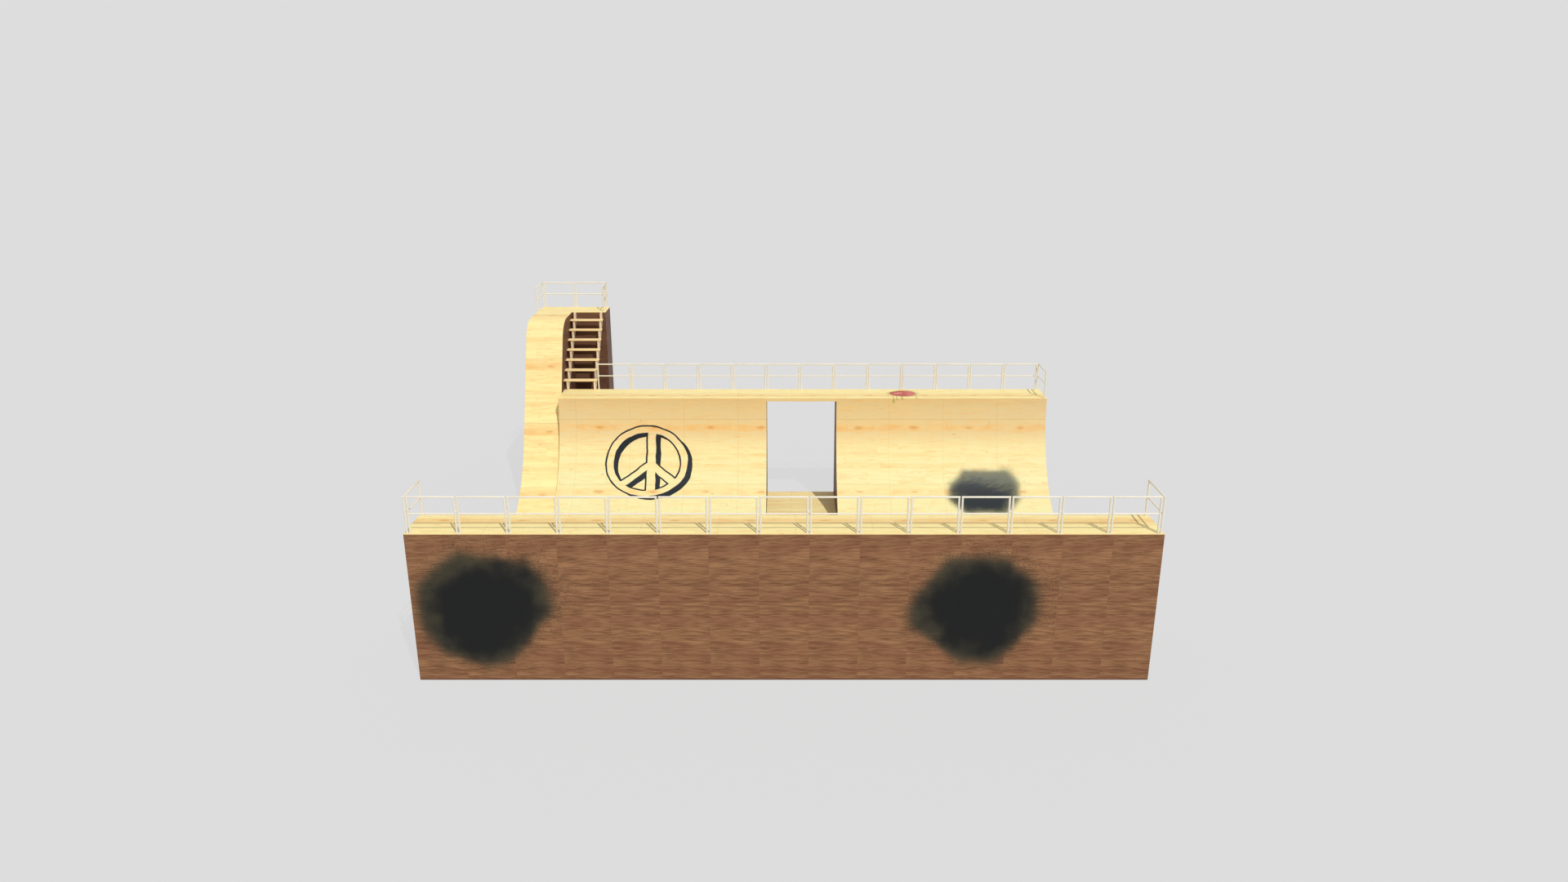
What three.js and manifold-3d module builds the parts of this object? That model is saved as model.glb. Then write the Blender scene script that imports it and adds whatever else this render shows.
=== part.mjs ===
// A closed-in wooden vert ramp: two facing quarters with a flat bottom between them, a doorway through
// the rear quarter, a steep roll-in that comes down from a tower, stairs from the rear deck to the
// tower's platform, and guard rails of welded tube on every deck.
//
// Millimetres, +Z up. X runs along the lips, and +Y from the front quarter to the rear one and the tower.
// The origin is on the ground, in the middle of the ramp's length and of its depth.
//
// Each quarter is drawn in its own frame: y is 0 at the foot of the transition and grows towards the lip,
// the deck and the wall behind. The rear quarter, the roll-in and the tower share one such frame, and the
// front quarter is the same drawing turned half round.

import * as THREE from 'three';
import { mergeVertices } from 'three/addons/utils/BufferGeometryUtils.js';
import Module from 'manifold-3d';

const wasm = await Module();
wasm.setup();

// Plan and riding profile
const bayWidth = 1400; // one bay of cladding, the grid for the doorway and the ribs
const bayCount = 15;
const baysPerFrontRib = 3;
const ribsPerRearHalf = 2;
const deckDepth = 1400;
const flatLength = 3890; // flat bottom between the two transitions
const transitionRadius = 4270;
const vertHeight = 234; // upright part between the transition and the lip

// Doorway through the rear quarter, in bays of the grid
const doorBaysFromLeft = 7;
const doorBayCount = 2;

// Roll-in, tower and stairs
const rollInWidth = 1480;
const rollInSetback = 230; // how far the roll-in's curve starts behind the other transition
const rollInSlopeDegrees = 66.8;
const bullnoseRadius = 1100;
const platformHeight = 7300;
const stairBayWidth = 1430;
const stairWell = 2400; // open space between the rear wall and the tower's front
const towerDepth = 1170;
const treadCount = 7;
const firstRiserShare = 1.2; // from the deck to the first tread, as a share of the rise between treads
const topRiserShare = 0.7; // from the top tread to the platform, as a share of the same rise
const treadDepth = 280;
const treadThickness = 50;
const treadGoing = 343;
const treadEndGap = 70; // from a tread's right end to the side of the stair bay
const treadNosing = 30; // overhang of a tread in front of its seat
const treadRound = 12; // bevel along a tread's edges
const stringerWidth = 75;
const leftStringerInset = 115; // from the side of the stair bay to the stringer's near face
const rightStringerInset = 135;
const stringerHeadDepth = 230; // upright head of a stringer, between the top tread and the tower
const stringerWaist = 120; // timber left under the corners of the seats

// Sheets
const skinThickness = 24; // riding surface, three layers of plywood
const deckThickness = 24;
const wallThickness = 18;
const sideThickness = 36;
const ribThickness = 36;
const floorThickness = 18;
const soffitThickness = 18; // underside of the bridge over the doorway

// Timbers behind the sheets
const joistWidth = 38;
const joistDepth = 89;
const skinJoistSpacing = 640;
const deckJoistSpacing = 640;
const girtThickness = 38; // wall girts lie flat against the sheet
const girtHeight = 89;
const girtSpacing = 1500;
const sleeperWidth = 89;
const sleeperHeight = 38;
const sleeperSpacing = 610;
const frameTimber = 89; // square posts and ledgers inside the tower
const ledgerSpacing = 2400;

// Framing of the ribs: studs, plates and blocking left standing between the openings
const ribStud = 110;
const ribStudSpacing = 1400;
const ribPlate = 120;
const ribBlockingSpacing = 2600;
const ribWeb = 130; // left under the bottom of the joist notches
const ribLeastOpening = 220;

// Guard rails of welded tube
const railHeight = 1090;
const midRailHeight = 575;
const tubeRadius = 27;
const tubeSides = 8;
const midTubeRadius = 23;
const midTubeSides = 6;
const railPanelGap = 40; // between the posts of two panels that stand side by side
const railEdgeInset = 55; // from the deck's edge to the rail's centre line
const crossRailInset = 100; // from a deck's end to the centre line of the panel that crosses it
const railEndInset = 20; // from a deck's edge to the end of a panel that crosses it
const rearRailOverlap = 60; // the rear run starts this far in front of the stair bay
const towerRailSetback = 100; // from the tower's front to the panel beside the stairs, past the end inset
const basePlateMargin = 4; // past the posts, along the rail
const basePlateWidth = 100;
const basePlateThickness = 8;
const basePlateClearance = 2; // between two base plates at a corner
const strapRise = 70; // from the mid rail up to the flat strap bolted between two posts
const strapHeight = 60;
const strapThickness = 12;
const frontRailPanels = 15;
const rearRailPanels = 13;
const towerRailPanels = 2;
const railRunNames = ['left', 'middle', 'right'];

// Fits and facets
const seatGap = 0.3; // between pieces that touch
const letIn = 4; // depth by which a timber is let into the sheet that it is fixed to
const arcStepDegrees = 5;

// Places that follow from the sizes above
const rampWidth = bayWidth * bayCount;
const xLeft = -rampWidth / 2;
const xRight = rampWidth / 2;
const xStrip = xLeft + rollInWidth; // right side of the roll-in, left end of the rear quarter
const xTower = xStrip + stairBayWidth; // right side of the tower and of the stair bay
const xDoorLeft = xLeft + doorBaysFromLeft * bayWidth;
const xDoorRight = xDoorLeft + doorBayCount * bayWidth;
const floorHeight = sleeperHeight + floorThickness;
const deckHeight = floorHeight + transitionRadius + vertHeight;
const underDeck = deckHeight - deckThickness - seatGap;
const underDeckJoists = deckHeight - deckThickness - joistDepth - seatGap;
const underPlatform = platformHeight - deckThickness - seatGap;
const underPlatformJoists = platformHeight - deckThickness - joistDepth - seatGap;
const yLip = transitionRadius;
const yWall = transitionRadius + deckDepth;
const yWallInside = yWall - wallThickness - seatGap;
const yTowerFront = yWall + stairWell;
const yTowerBack = yTowerFront + towerDepth;
const yTowerInside = yTowerBack - wallThickness - seatGap;
const overallDepth = yWall + flatLength + yTowerBack;
const yFrontFoot = yWall - overallDepth / 2;
const yRearFoot = yFrontFoot + flatLength;

const materials = {
  plywood: new THREE.MeshStandardMaterial({ color: 0xf3dca0, roughness: 0.62, metalness: 0 }),
  framing: new THREE.MeshStandardMaterial({ color: 0xcfa873, roughness: 0.8, metalness: 0 }),
  cladding: new THREE.MeshStandardMaterial({ color: 0x8a6245, roughness: 0.7, metalness: 0 }),
  stringer: new THREE.MeshStandardMaterial({ color: 0xe6d8bd, roughness: 0.6, metalness: 0 }),
  rail: new THREE.MeshStandardMaterial({ color: 0xf4ecd9, roughness: 0.4, metalness: 0.1 }),
};

// Solids

function toSolid(geometry) {
  geometry.deleteAttribute('normal');
  geometry.deleteAttribute('uv');
  const merged = mergeVertices(geometry);
  return new wasm.Manifold(new wasm.Mesh({
    numProp: 3,
    vertProperties: merged.attributes.position.array,
    triVerts: new Uint32Array(merged.index.array),
  }));
}

function toGeometry(solid) {
  const mesh = solid.getMesh();
  const geometry = new THREE.BufferGeometry();
  geometry.setAttribute('position', new THREE.BufferAttribute(new Float32Array(mesh.vertProperties), 3));
  geometry.setIndex(new THREE.BufferAttribute(new Uint32Array(mesh.triVerts), 1));
  const faceted = geometry.toNonIndexed();
  faceted.computeVertexNormals();
  return faceted;
}

function join(solids) {
  return solids.reduce((whole, solid) => whole.add(solid));
}

function cut(solid, tools) {
  return tools.reduce((rest, tool) => rest.subtract(tool), solid);
}

// An outline without the points that repeat their neighbour or lie on a straight line between two others.
function tidyOutline(points) {
  const apart = points.filter(([y, z], i) => {
    const [yBefore, zBefore] = points[(i + points.length - 1) % points.length];
    return Math.hypot(y - yBefore, z - zBefore) > seatGap / 10;
  });
  return apart.filter(([y, z], i) => {
    const [yBefore, zBefore] = apart[(i + apart.length - 1) % apart.length];
    const [yAfter, zAfter] = apart[(i + 1) % apart.length];
    const turn = (y - yBefore) * (zAfter - z) - (z - zBefore) * (yAfter - y);
    return Math.abs(turn) > (seatGap / 10) * Math.hypot(yAfter - yBefore, zAfter - zBefore);
  });
}

function shapeOf(points) {
  return new THREE.Shape(tidyOutline(points).map(([a, b]) => new THREE.Vector2(a, b)));
}

// An outline in y and z, drawn out along X.
function prism(points, xFrom, xTo) {
  const shape = shapeOf(points);
  const geometry = new THREE.ExtrudeGeometry(shape, { depth: xTo - xFrom, bevelEnabled: false });
  const axes = new THREE.Matrix4().makeBasis(
    new THREE.Vector3(0, 1, 0),
    new THREE.Vector3(0, 0, 1),
    new THREE.Vector3(1, 0, 0),
  );
  geometry.applyMatrix4(axes);
  geometry.translate(xFrom, 0, 0);
  return toSolid(geometry);
}

// An outline in x and y, drawn up along Z.
function slab(points, zFrom, zTo) {
  const shape = shapeOf(points);
  const geometry = new THREE.ExtrudeGeometry(shape, { depth: zTo - zFrom, bevelEnabled: false });
  geometry.translate(0, 0, zFrom);
  return toSolid(geometry);
}

function box(xFrom, xTo, yFrom, yTo, zFrom, zTo) {
  const geometry = new THREE.BoxGeometry(xTo - xFrom, yTo - yFrom, zTo - zFrom);
  geometry.translate((xFrom + xTo) / 2, (yFrom + yTo) / 2, (zFrom + zTo) / 2);
  return toSolid(geometry);
}

// A round bar, with its flats on the stated radius, along X or up Z from its starting point.
function bar(start, length, radius, sides, alongX) {
  const outer = radius / Math.cos(Math.PI / sides);
  const geometry = new THREE.CylinderGeometry(outer, outer, length, sides, 1, false, Math.PI / sides);
  geometry.translate(0, length / 2, 0);
  if (alongX) geometry.rotateZ(-Math.PI / 2);
  else geometry.rotateX(Math.PI / 2);
  geometry.translate(...start);
  return toSolid(geometry);
}

function piece(group, name, solid, material) {
  const mesh = new THREE.Mesh(toGeometry(solid), material);
  mesh.name = name;
  group.add(mesh);
  return mesh;
}

// Places spread evenly between two limits, no further apart than the spacing.
function spread(from, to, spacing) {
  const steps = Math.max(1, Math.ceil((to - from) / spacing));
  return Array.from({ length: steps + 1 }, (_, i) => from + ((to - from) * i) / steps);
}

// Places at the stated spacing from the first limit on, and one at the second limit. The last step is no
// shorter than the least step.
function paces(from, to, spacing, leastStep) {
  const places = [from];
  for (let place = from + spacing; to - place >= leastStep; place += spacing) places.push(place);
  return [...places, to];
}

// Riding profiles. A station is a point on the surface with the slope there, in degrees: 0 is flat and
// 90 straight up. The structure lies on the side that the rider doesn't touch.

function hollowArc(yCentre, zCentre, radius, fromDegrees, toDegrees) {
  return spread(fromDegrees, toDegrees, arcStepDegrees).map((slope) => {
    const angle = THREE.MathUtils.degToRad(slope);
    return { y: yCentre + radius * Math.sin(angle), z: zCentre - radius * Math.cos(angle), slope };
  });
}

function bullnoseArc(yCentre, zCentre, radius, fromDegrees) {
  return spread(0, fromDegrees, arcStepDegrees).reverse().map((slope) => {
    const angle = THREE.MathUtils.degToRad(slope);
    return { y: yCentre - radius * Math.sin(angle), z: zCentre + radius * Math.cos(angle), slope };
  });
}

function transitionProfile() {
  const zCentre = floorHeight + transitionRadius;
  const curve = hollowArc(0, zCentre, transitionRadius, 0, 90);
  return [...curve, { y: yLip, z: underDeck, slope: 90 }];
}

function rollInProfile() {
  const angle = THREE.MathUtils.degToRad(rollInSlopeDegrees);
  const zCentre = floorHeight + transitionRadius;
  const curve = hollowArc(rollInSetback, zCentre, transitionRadius, 0, rollInSlopeDegrees);
  const curveTop = curve[curve.length - 1];
  const zNose = platformHeight - bullnoseRadius;
  const slopeRise = zNose + bullnoseRadius * Math.cos(angle) - curveTop.z;
  const yNose = curveTop.y + slopeRise / Math.tan(angle) + bullnoseRadius * Math.sin(angle);
  const start = { y: 0, z: floorHeight, slope: 0 };
  return [start, ...curve, ...bullnoseArc(yNose, zNose, bullnoseRadius, rollInSlopeDegrees)];
}

// The profile moved off the surface into the structure.
function offset(profile, distance) {
  return profile.map(({ y, z, slope }) => {
    const angle = THREE.MathUtils.degToRad(slope);
    return [y + distance * Math.sin(angle), z - distance * Math.cos(angle)];
  });
}

function profileLength(profile) {
  const lengths = profile.slice(1).map(({ y, z }, i) => Math.hypot(y - profile[i].y, z - profile[i].z));
  return lengths.reduce((sum, length) => sum + length);
}

function stationAt(profile, distance) {
  let left = distance;
  for (let i = 1; i < profile.length; i += 1) {
    const [a, b] = [profile[i - 1], profile[i]];
    const length = Math.hypot(b.y - a.y, b.z - a.z);
    if (left <= length) {
      const share = left / length;
      return {
        y: a.y + (b.y - a.y) * share,
        z: a.z + (b.z - a.z) * share,
        slope: a.slope + (b.slope - a.slope) * share,
      };
    }
    left -= length;
  }
  return profile[profile.length - 1];
}

// The first joist lies where the surface is high enough above the ground to leave room under it.
function skinJoistStations(profile, topMargin) {
  const room = skinThickness + joistDepth + ribPlate / 2;
  let first = 0;
  while (stationAt(profile, first).z < room) first += joistWidth;
  return spread(first, profileLength(profile) - topMargin, skinJoistSpacing)
    .map((distance) => stationAt(profile, distance));
}

// Section of a joist that stands square to the surface. The play widens it into the notch that holds it.
function joistOutline({ y, z, slope }, play) {
  const angle = THREE.MathUtils.degToRad(slope);
  const half = joistWidth / 2 + play;
  const corners = [
    [-half, skinThickness - letIn],
    [half, skinThickness - letIn],
    [half, skinThickness + joistDepth + play],
    [-half, skinThickness + joistDepth + play],
  ];
  return corners.map(([along, into]) => [
    y + along * Math.cos(angle) + into * Math.sin(angle),
    z + along * Math.sin(angle) - into * Math.cos(angle),
  ]);
}

const quarterProfile = transitionProfile();
const quarterJoists = skinJoistStations(quarterProfile, deckThickness + joistDepth + joistWidth);
const stripProfile = rollInProfile();
const stripJoists = skinJoistStations(stripProfile, joistWidth);
const yPlatformStart = stripProfile[stripProfile.length - 1].y;

// Timbers that run along X behind the sheets, as rows of y and z limits. The play widens them into notches.

function deckJoistRows(play) {
  const first = yLip + skinThickness + seatGap + joistWidth / 2;
  const last = yWallInside - girtThickness - joistWidth / 2;
  return spread(first, last, deckJoistSpacing).map((y) => [
    y - joistWidth / 2 - play, y + joistWidth / 2 + play,
    deckHeight - deckThickness - joistDepth - play, deckHeight - deckThickness + letIn,
  ]);
}

function platformJoistRows(yFrom, play) {
  const first = yFrom + joistWidth;
  const last = yTowerInside - girtThickness - joistWidth / 2;
  return spread(first, last, deckJoistSpacing).map((y) => [
    y - joistWidth / 2 - play, y + joistWidth / 2 + play,
    platformHeight - deckThickness - joistDepth - play, platformHeight - deckThickness + letIn,
  ]);
}

function girtRows(ySheet, zTop, play) {
  const first = ribPlate + girtHeight / 2;
  const last = zTop - girtHeight;
  return spread(first, last, girtSpacing).map((z) => [
    ySheet - girtThickness - play, ySheet + letIn,
    z - girtHeight / 2 - play, z + girtHeight / 2 + play,
  ]);
}

function timbers(rows, xFrom, xTo) {
  return rows.map((row) => box(xFrom, xTo, ...row));
}

// Sheets with the timbers that back them. The timbers stop short of the side panels at both ends.

const endInset = sideThickness + seatGap;

function skin(profile, joists, xFrom, xTo) {
  const section = [...offset(profile, 0), ...offset(profile, skinThickness).reverse()];
  const backing = joists.map((station) => prism(joistOutline(station, 0), xFrom + endInset, xTo - endInset));
  return join([prism(section, xFrom, xTo), ...backing]);
}

function deck(xFrom, xTo) {
  const sheet = box(xFrom, xTo, yLip, yWall, deckHeight - deckThickness, deckHeight);
  return join([sheet, ...timbers(deckJoistRows(0), xFrom + endInset, xTo - endInset)]);
}

function wall(xFrom, xTo) {
  const sheet = box(xFrom, xTo, yWall - wallThickness, yWall, 0, underDeck);
  const rows = girtRows(yWall - wallThickness, underDeckJoists, 0);
  return join([sheet, ...timbers(rows, xFrom + endInset, xTo - endInset)]);
}

// Sleepers run along X under a sheet that lies between the given limits.
function sleeperFloor(xFrom, xTo, yFrom, yTo) {
  const sheet = box(xFrom, xTo, yFrom, yTo, sleeperHeight, floorHeight);
  const sleepers = spread(yFrom + sleeperWidth / 2, yTo - sleeperWidth / 2, sleeperSpacing)
    .map((y) => box(xFrom, xTo, y - sleeperWidth / 2, y + sleeperWidth / 2, 0, sleeperHeight + letIn));
  return join([sheet, ...sleepers]);
}

// Side panels and ribs

function quarterSideOutline() {
  const edge = offset(quarterProfile, skinThickness + seatGap);
  return [[0, 0], [yWallInside, 0], [yWallInside, underDeck], ...edge.reverse()];
}

function stripSideOutline() {
  const edge = offset(stripProfile, skinThickness + seatGap);
  const top = [[yTowerInside, underPlatform], [yPlatformStart, underPlatform]];
  return [[0, 0], [yTowerInside, 0], ...top, ...edge.reverse()];
}

// A closed side panel whose outer face is at xOuter. The inward direction is 1 towards +X, or -1.
function sidePanel(outline, xOuter, inward) {
  const xInner = xOuter + inward * sideThickness;
  return prism(outline, Math.min(xOuter, xInner), Math.max(xOuter, xInner));
}

function doorJamb(xOuter, inward) {
  const panel = sidePanel(quarterSideOutline(), xOuter, inward);
  const far = 2 * sideThickness;
  return cut(panel, timbers(deckJoistRows(seatGap), xOuter - far, xOuter + far));
}

// Height of the curved line above y, or of the flat line where that is lower.
function roofAt(line, zFlat, y) {
  for (let i = 1; i < line.length; i += 1) {
    const [[ya, za], [yb, zb]] = [line[i - 1], line[i]];
    if (y >= ya && y < yb) return Math.min(zFlat, za + ((zb - za) * (y - ya)) / (yb - ya));
  }
  return zFlat;
}

// Openings between the studs of a rib, under a web that follows the riding surface.
function ribOpenings(profile, zUnderJoists, yInside) {
  const line = offset(profile, skinThickness + joistDepth + ribWeb);
  const zFlat = zUnderJoists - ribWeb;
  const yEnd = yInside - girtThickness - ribStud;
  let yStart = 0;
  while (roofAt(line, zFlat, yStart) < ribPlate + ribLeastOpening) yStart += joistWidth;
  const studs = spread(yStart, yEnd, ribStudSpacing);
  return studs.slice(1).flatMap((yStud, i) => {
    const yFrom = studs[i] + (i === 0 ? 0 : ribStud / 2);
    const yTo = yStud - (i === studs.length - 2 ? 0 : ribStud / 2);
    const zTop = roofAt(line, zFlat, yFrom) + ribPlate;
    const levels = paces(ribPlate, zTop, ribBlockingSpacing, ribPlate + ribLeastOpening);
    return levels.slice(1).map((level, row) => {
      const zFrom = levels[row];
      const sill = [[yTo, zFrom], [yFrom, zFrom]];
      if (row < levels.length - 2) return [...sill, [yFrom, level - ribPlate], [yTo, level - ribPlate]];
      const roof = [yFrom, (yFrom + yTo) / 2, yTo].map((y) => [y, roofAt(line, zFlat, y)]);
      return [...sill, ...roof];
    });
  });
}

// A framed rib, centred on x = 0, notched for the joists and girts that cross it.
function rib(outline, profile, joists, rows, zUnderJoists, yInside) {
  const half = ribThickness / 2;
  const through = ribThickness;
  const notches = joists.map((station) => prism(joistOutline(station, seatGap), -through, through));
  const openings = ribOpenings(profile, zUnderJoists, yInside)
    .map((points) => prism(points, -through, through));
  return cut(prism(outline, -half, half), [...notches, ...timbers(rows, -through, through), ...openings]);
}

function quarterRib() {
  const rows = [...deckJoistRows(seatGap), ...girtRows(yWall - wallThickness, underDeckJoists, seatGap)];
  return rib(quarterSideOutline(), quarterProfile, quarterJoists, rows, underDeckJoists, yWallInside);
}

function stripRib() {
  const rows = [
    ...platformJoistRows(yPlatformStart, seatGap),
    ...girtRows(yTowerBack - wallThickness, underPlatformJoists, seatGap),
  ];
  return rib(stripSideOutline(), stripProfile, stripJoists, rows, underPlatformJoists, yTowerInside);
}

// Front quarter

function frontQuarter() {
  const group = new THREE.Group();
  group.position.y = yFrontFoot;
  group.rotation.z = Math.PI;
  const ribSolid = quarterRib();
  let number = 0;
  for (let bay = baysPerFrontRib; bay < bayCount; bay += baysPerFrontRib) {
    number += 1;
    piece(group, `front_rib_${number}`, ribSolid, materials.framing).position.x = -(xLeft + bay * bayWidth);
  }
  piece(group, 'front_left_side', sidePanel(quarterSideOutline(), xRight, -1), materials.cladding);
  piece(group, 'front_right_side', sidePanel(quarterSideOutline(), xLeft, 1), materials.cladding);
  piece(group, 'front_skin', skin(quarterProfile, quarterJoists, xLeft, xRight), materials.plywood);
  piece(group, 'front_deck', deck(xLeft, xRight), materials.plywood);
  piece(group, 'front_wall', wall(xLeft, xRight), materials.cladding);
  return group;
}

// Rear quarter, in two halves with the doorway between them

function rearHalf(group, name, xFrom, xTo) {
  const ribSolid = quarterRib();
  for (let i = 1; i <= ribsPerRearHalf; i += 1) {
    const x = xFrom + ((xTo - xFrom) * i) / (ribsPerRearHalf + 1);
    piece(group, `rear_${name}_rib_${i}`, ribSolid, materials.framing).position.x = x;
  }
  piece(group, `rear_${name}_skin`, skin(quarterProfile, quarterJoists, xFrom, xTo), materials.plywood);
  piece(group, `rear_${name}_wall`, wall(xFrom, xTo), materials.cladding);
}

// A trough under the deck over the doorway: a face flush with the lip, a face flush with the wall, and
// a soffit under the deck joists that cross it.
function doorHeader() {
  const zTop = underDeck;
  const zSoffit = underDeckJoists;
  const zHead = zSoffit - soffitThickness;
  const yFaceBack = yLip + skinThickness;
  const yWallFront = yWall - wallThickness;
  const section = [
    [yLip, zHead], [yWall, zHead], [yWall, zTop], [yWallFront, zTop],
    [yWallFront, zSoffit], [yFaceBack, zSoffit], [yFaceBack, zTop], [yLip, zTop],
  ];
  return prism(section, xDoorLeft + seatGap, xDoorRight - seatGap);
}

function rearQuarter() {
  const group = new THREE.Group();
  group.position.y = yRearFoot;
  rearHalf(group, 'left', xStrip, xDoorLeft);
  rearHalf(group, 'right', xDoorRight, xRight);
  piece(group, 'rear_left_side', sidePanel(quarterSideOutline(), xStrip, 1), materials.plywood);
  piece(group, 'rear_right_side', sidePanel(quarterSideOutline(), xRight, -1), materials.cladding);
  piece(group, 'door_left_jamb', doorJamb(xDoorLeft, -1), materials.cladding);
  piece(group, 'door_right_jamb', doorJamb(xDoorRight, 1), materials.cladding);
  piece(group, 'rear_deck', deck(xStrip, xRight), materials.plywood);
  piece(group, 'door_header', doorHeader(), materials.plywood);
  const doorFloor = sleeperFloor(xDoorLeft + seatGap, xDoorRight - seatGap, 0, yWall);
  piece(group, 'door_floor', doorFloor, materials.plywood);
  return group;
}

function flatBottom() {
  const group = new THREE.Group();
  const floor = sleeperFloor(xLeft, xRight, yFrontFoot + seatGap, yRearFoot - seatGap);
  piece(group, 'flat_bottom', floor, materials.plywood);
  return group;
}

// Roll-in and tower

function towerPlatform() {
  const plan = [
    [xLeft, yPlatformStart + seatGap], [xStrip, yPlatformStart + seatGap], [xStrip, yTowerFront],
    [xTower, yTowerFront], [xTower, yTowerBack], [xLeft, yTowerBack],
  ];
  const sheet = slab(plan, platformHeight - deckThickness, platformHeight);
  const overStrip = timbers(
    platformJoistRows(yPlatformStart, 0), xLeft + endInset, xStrip - seatGap - endInset,
  );
  const overStairBay = timbers(
    platformJoistRows(yTowerFront + wallThickness, 0), xStrip + seatGap, xTower - endInset,
  );
  return join([sheet, ...overStrip, ...overStairBay]);
}

function towerBackWall() {
  const sheet = box(xLeft, xTower, yTowerBack - wallThickness, yTowerBack, 0, underPlatform);
  const rows = girtRows(yTowerBack - wallThickness, underPlatformJoists, 0);
  return join([sheet, ...timbers(rows, xLeft + endInset, xStrip - seatGap - endInset)]);
}

// Four posts with ledgers between them, inside the tower's walls and under the platform's joists.
function towerFrame() {
  const [xFrom, xTo] = [xStrip + seatGap, xTower - endInset];
  const [yFrom, yTo] = [yTowerFront + wallThickness + seatGap, yTowerInside];
  const xSides = [[xFrom, xFrom + frameTimber], [xTo - frameTimber, xTo]];
  const ySides = [[yFrom, yFrom + frameTimber], [yTo - frameTimber, yTo]];
  const posts = xSides.flatMap((x) => ySides.map((y) => box(...x, ...y, 0, underPlatformJoists)));
  const tops = paces(frameTimber + ribPlate, underPlatformJoists, ledgerSpacing, 2 * frameTimber);
  const ledgers = tops.flatMap((zTop) => [
    ...xSides.map((x) => box(...x, yFrom, yTo, zTop - frameTimber, zTop)),
    ...ySides.map((y) => box(xFrom, xTo, ...y, zTop - frameTimber, zTop)),
  ]);
  return join([...posts, ...ledgers]);
}

function rollInAndTower() {
  const group = new THREE.Group();
  group.position.y = yRearFoot;
  const xStripEdge = xStrip - seatGap;
  piece(group, 'roll_in_skin', skin(stripProfile, stripJoists, xLeft, xStripEdge), materials.plywood);
  piece(group, 'roll_in_left_side', sidePanel(stripSideOutline(), xLeft, 1), materials.cladding);
  piece(group, 'roll_in_right_side', sidePanel(stripSideOutline(), xStripEdge, -1), materials.cladding);
  piece(group, 'roll_in_rib', stripRib(), materials.framing).position.x = (xLeft + xStripEdge) / 2;
  piece(group, 'tower_platform', towerPlatform(), materials.plywood);
  piece(group, 'tower_back_wall', towerBackWall(), materials.cladding);
  const frontWall = box(xStrip, xTower, yTowerFront, yTowerFront + wallThickness, 0, underPlatform);
  piece(group, 'tower_front_wall', frontWall, materials.cladding);
  const ySideFrom = yTowerFront + wallThickness + seatGap;
  const rightSide = box(xTower - sideThickness, xTower, ySideFrom, yTowerInside, 0, underPlatform);
  piece(group, 'tower_right_side', rightSide, materials.cladding);
  piece(group, 'tower_frame', towerFrame(), materials.framing);
  return group;
}

// Stairs

const treadRise = (platformHeight - deckHeight) / (firstRiserShare + treadCount - 1 + topRiserShare);
const yStringerEnd = yTowerFront - seatGap;
const yStringerHead = yStringerEnd - stringerHeadDepth;

function treadTop(number) {
  return deckHeight + (firstRiserShare + number - 1) * treadRise;
}

function treadBack(number) {
  return yStringerHead - seatGap - (treadCount - number) * treadGoing;
}

function tread(number) {
  const [yTo, zTo] = [treadBack(number), treadTop(number)];
  const [yFrom, zFrom] = [yTo - treadDepth, zTo - treadThickness];
  const section = [
    [yFrom + treadRound, zFrom], [yTo - treadRound, zFrom],
    [yTo, zFrom + treadRound], [yTo, zTo - treadRound],
    [yTo - treadRound, zTo], [yFrom + treadRound, zTo],
    [yFrom, zTo - treadRound], [yFrom, zFrom + treadRound],
  ];
  return prism(section, xStrip, xTower - treadEndGap);
}

// A stringer with a level seat cut for each tread, a level foot on the deck, and a head against the tower
// that comes up to the platform.
function stringer(xFrom) {
  const seats = [];
  for (let number = 1; number <= treadCount; number += 1) {
    const ySeat = treadBack(number) - treadDepth + treadNosing;
    const zSeat = treadTop(number) - treadThickness - seatGap;
    const ySeatEnd = number === treadCount ? yStringerHead : ySeat + treadGoing;
    seats.push([ySeat, zSeat], [ySeatEnd, zSeat]);
  }
  const pitch = treadRise / treadGoing;
  const [yCorner, zCorner] = seats[1];
  const underside = (y) => zCorner - stringerWaist * Math.hypot(1, pitch) + (y - yCorner) * pitch;
  const zFoot = deckHeight + seatGap;
  const yHeel = yCorner + (zFoot - underside(yCorner)) / pitch;
  const head = [[yStringerHead, platformHeight], [yStringerEnd, platformHeight]];
  const heel = [[yStringerEnd, underside(yStringerEnd)], [yHeel, zFoot]];
  return prism([[seats[0][0], zFoot], ...seats, ...head, ...heel], xFrom, xFrom + stringerWidth);
}

function stairs() {
  const group = new THREE.Group();
  group.position.y = yRearFoot;
  const xRightStringer = xTower - rightStringerInset - stringerWidth;
  piece(group, 'stair_left_stringer', stringer(xStrip + leftStringerInset), materials.stringer);
  piece(group, 'stair_right_stringer', stringer(xRightStringer), materials.stringer);
  for (let number = 1; number <= treadCount; number += 1) {
    piece(group, `stair_tread_${number}`, tread(number), materials.plywood);
  }
  return group;
}

// Guard rails

// One welded panel, centred on x = 0: two posts, a top rail over them and a mid rail between them.
function railPanel(pitch) {
  const half = (pitch - railPanelGap) / 2;
  const xPost = half - tubeRadius;
  const zTop = railHeight - tubeRadius;
  const zPlate = basePlateThickness / 2;
  const posts = [-xPost, xPost].map((x) => bar([x, 0, zPlate], zTop - zPlate, tubeRadius, tubeSides, false));
  const topRail = bar([-half, 0, zTop], 2 * half, tubeRadius, tubeSides, true);
  const midRail = bar([-xPost, 0, midRailHeight], 2 * xPost, midTubeRadius, midTubeSides, true);
  return join([...posts, topRail, midRail]);
}

// A base plate under the posts that stand between two limits.
function basePlate(xFrom, xTo) {
  const half = basePlateWidth / 2;
  return box(xFrom - basePlateMargin, xTo + basePlateMargin, -half, half, 0, basePlateThickness);
}

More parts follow.
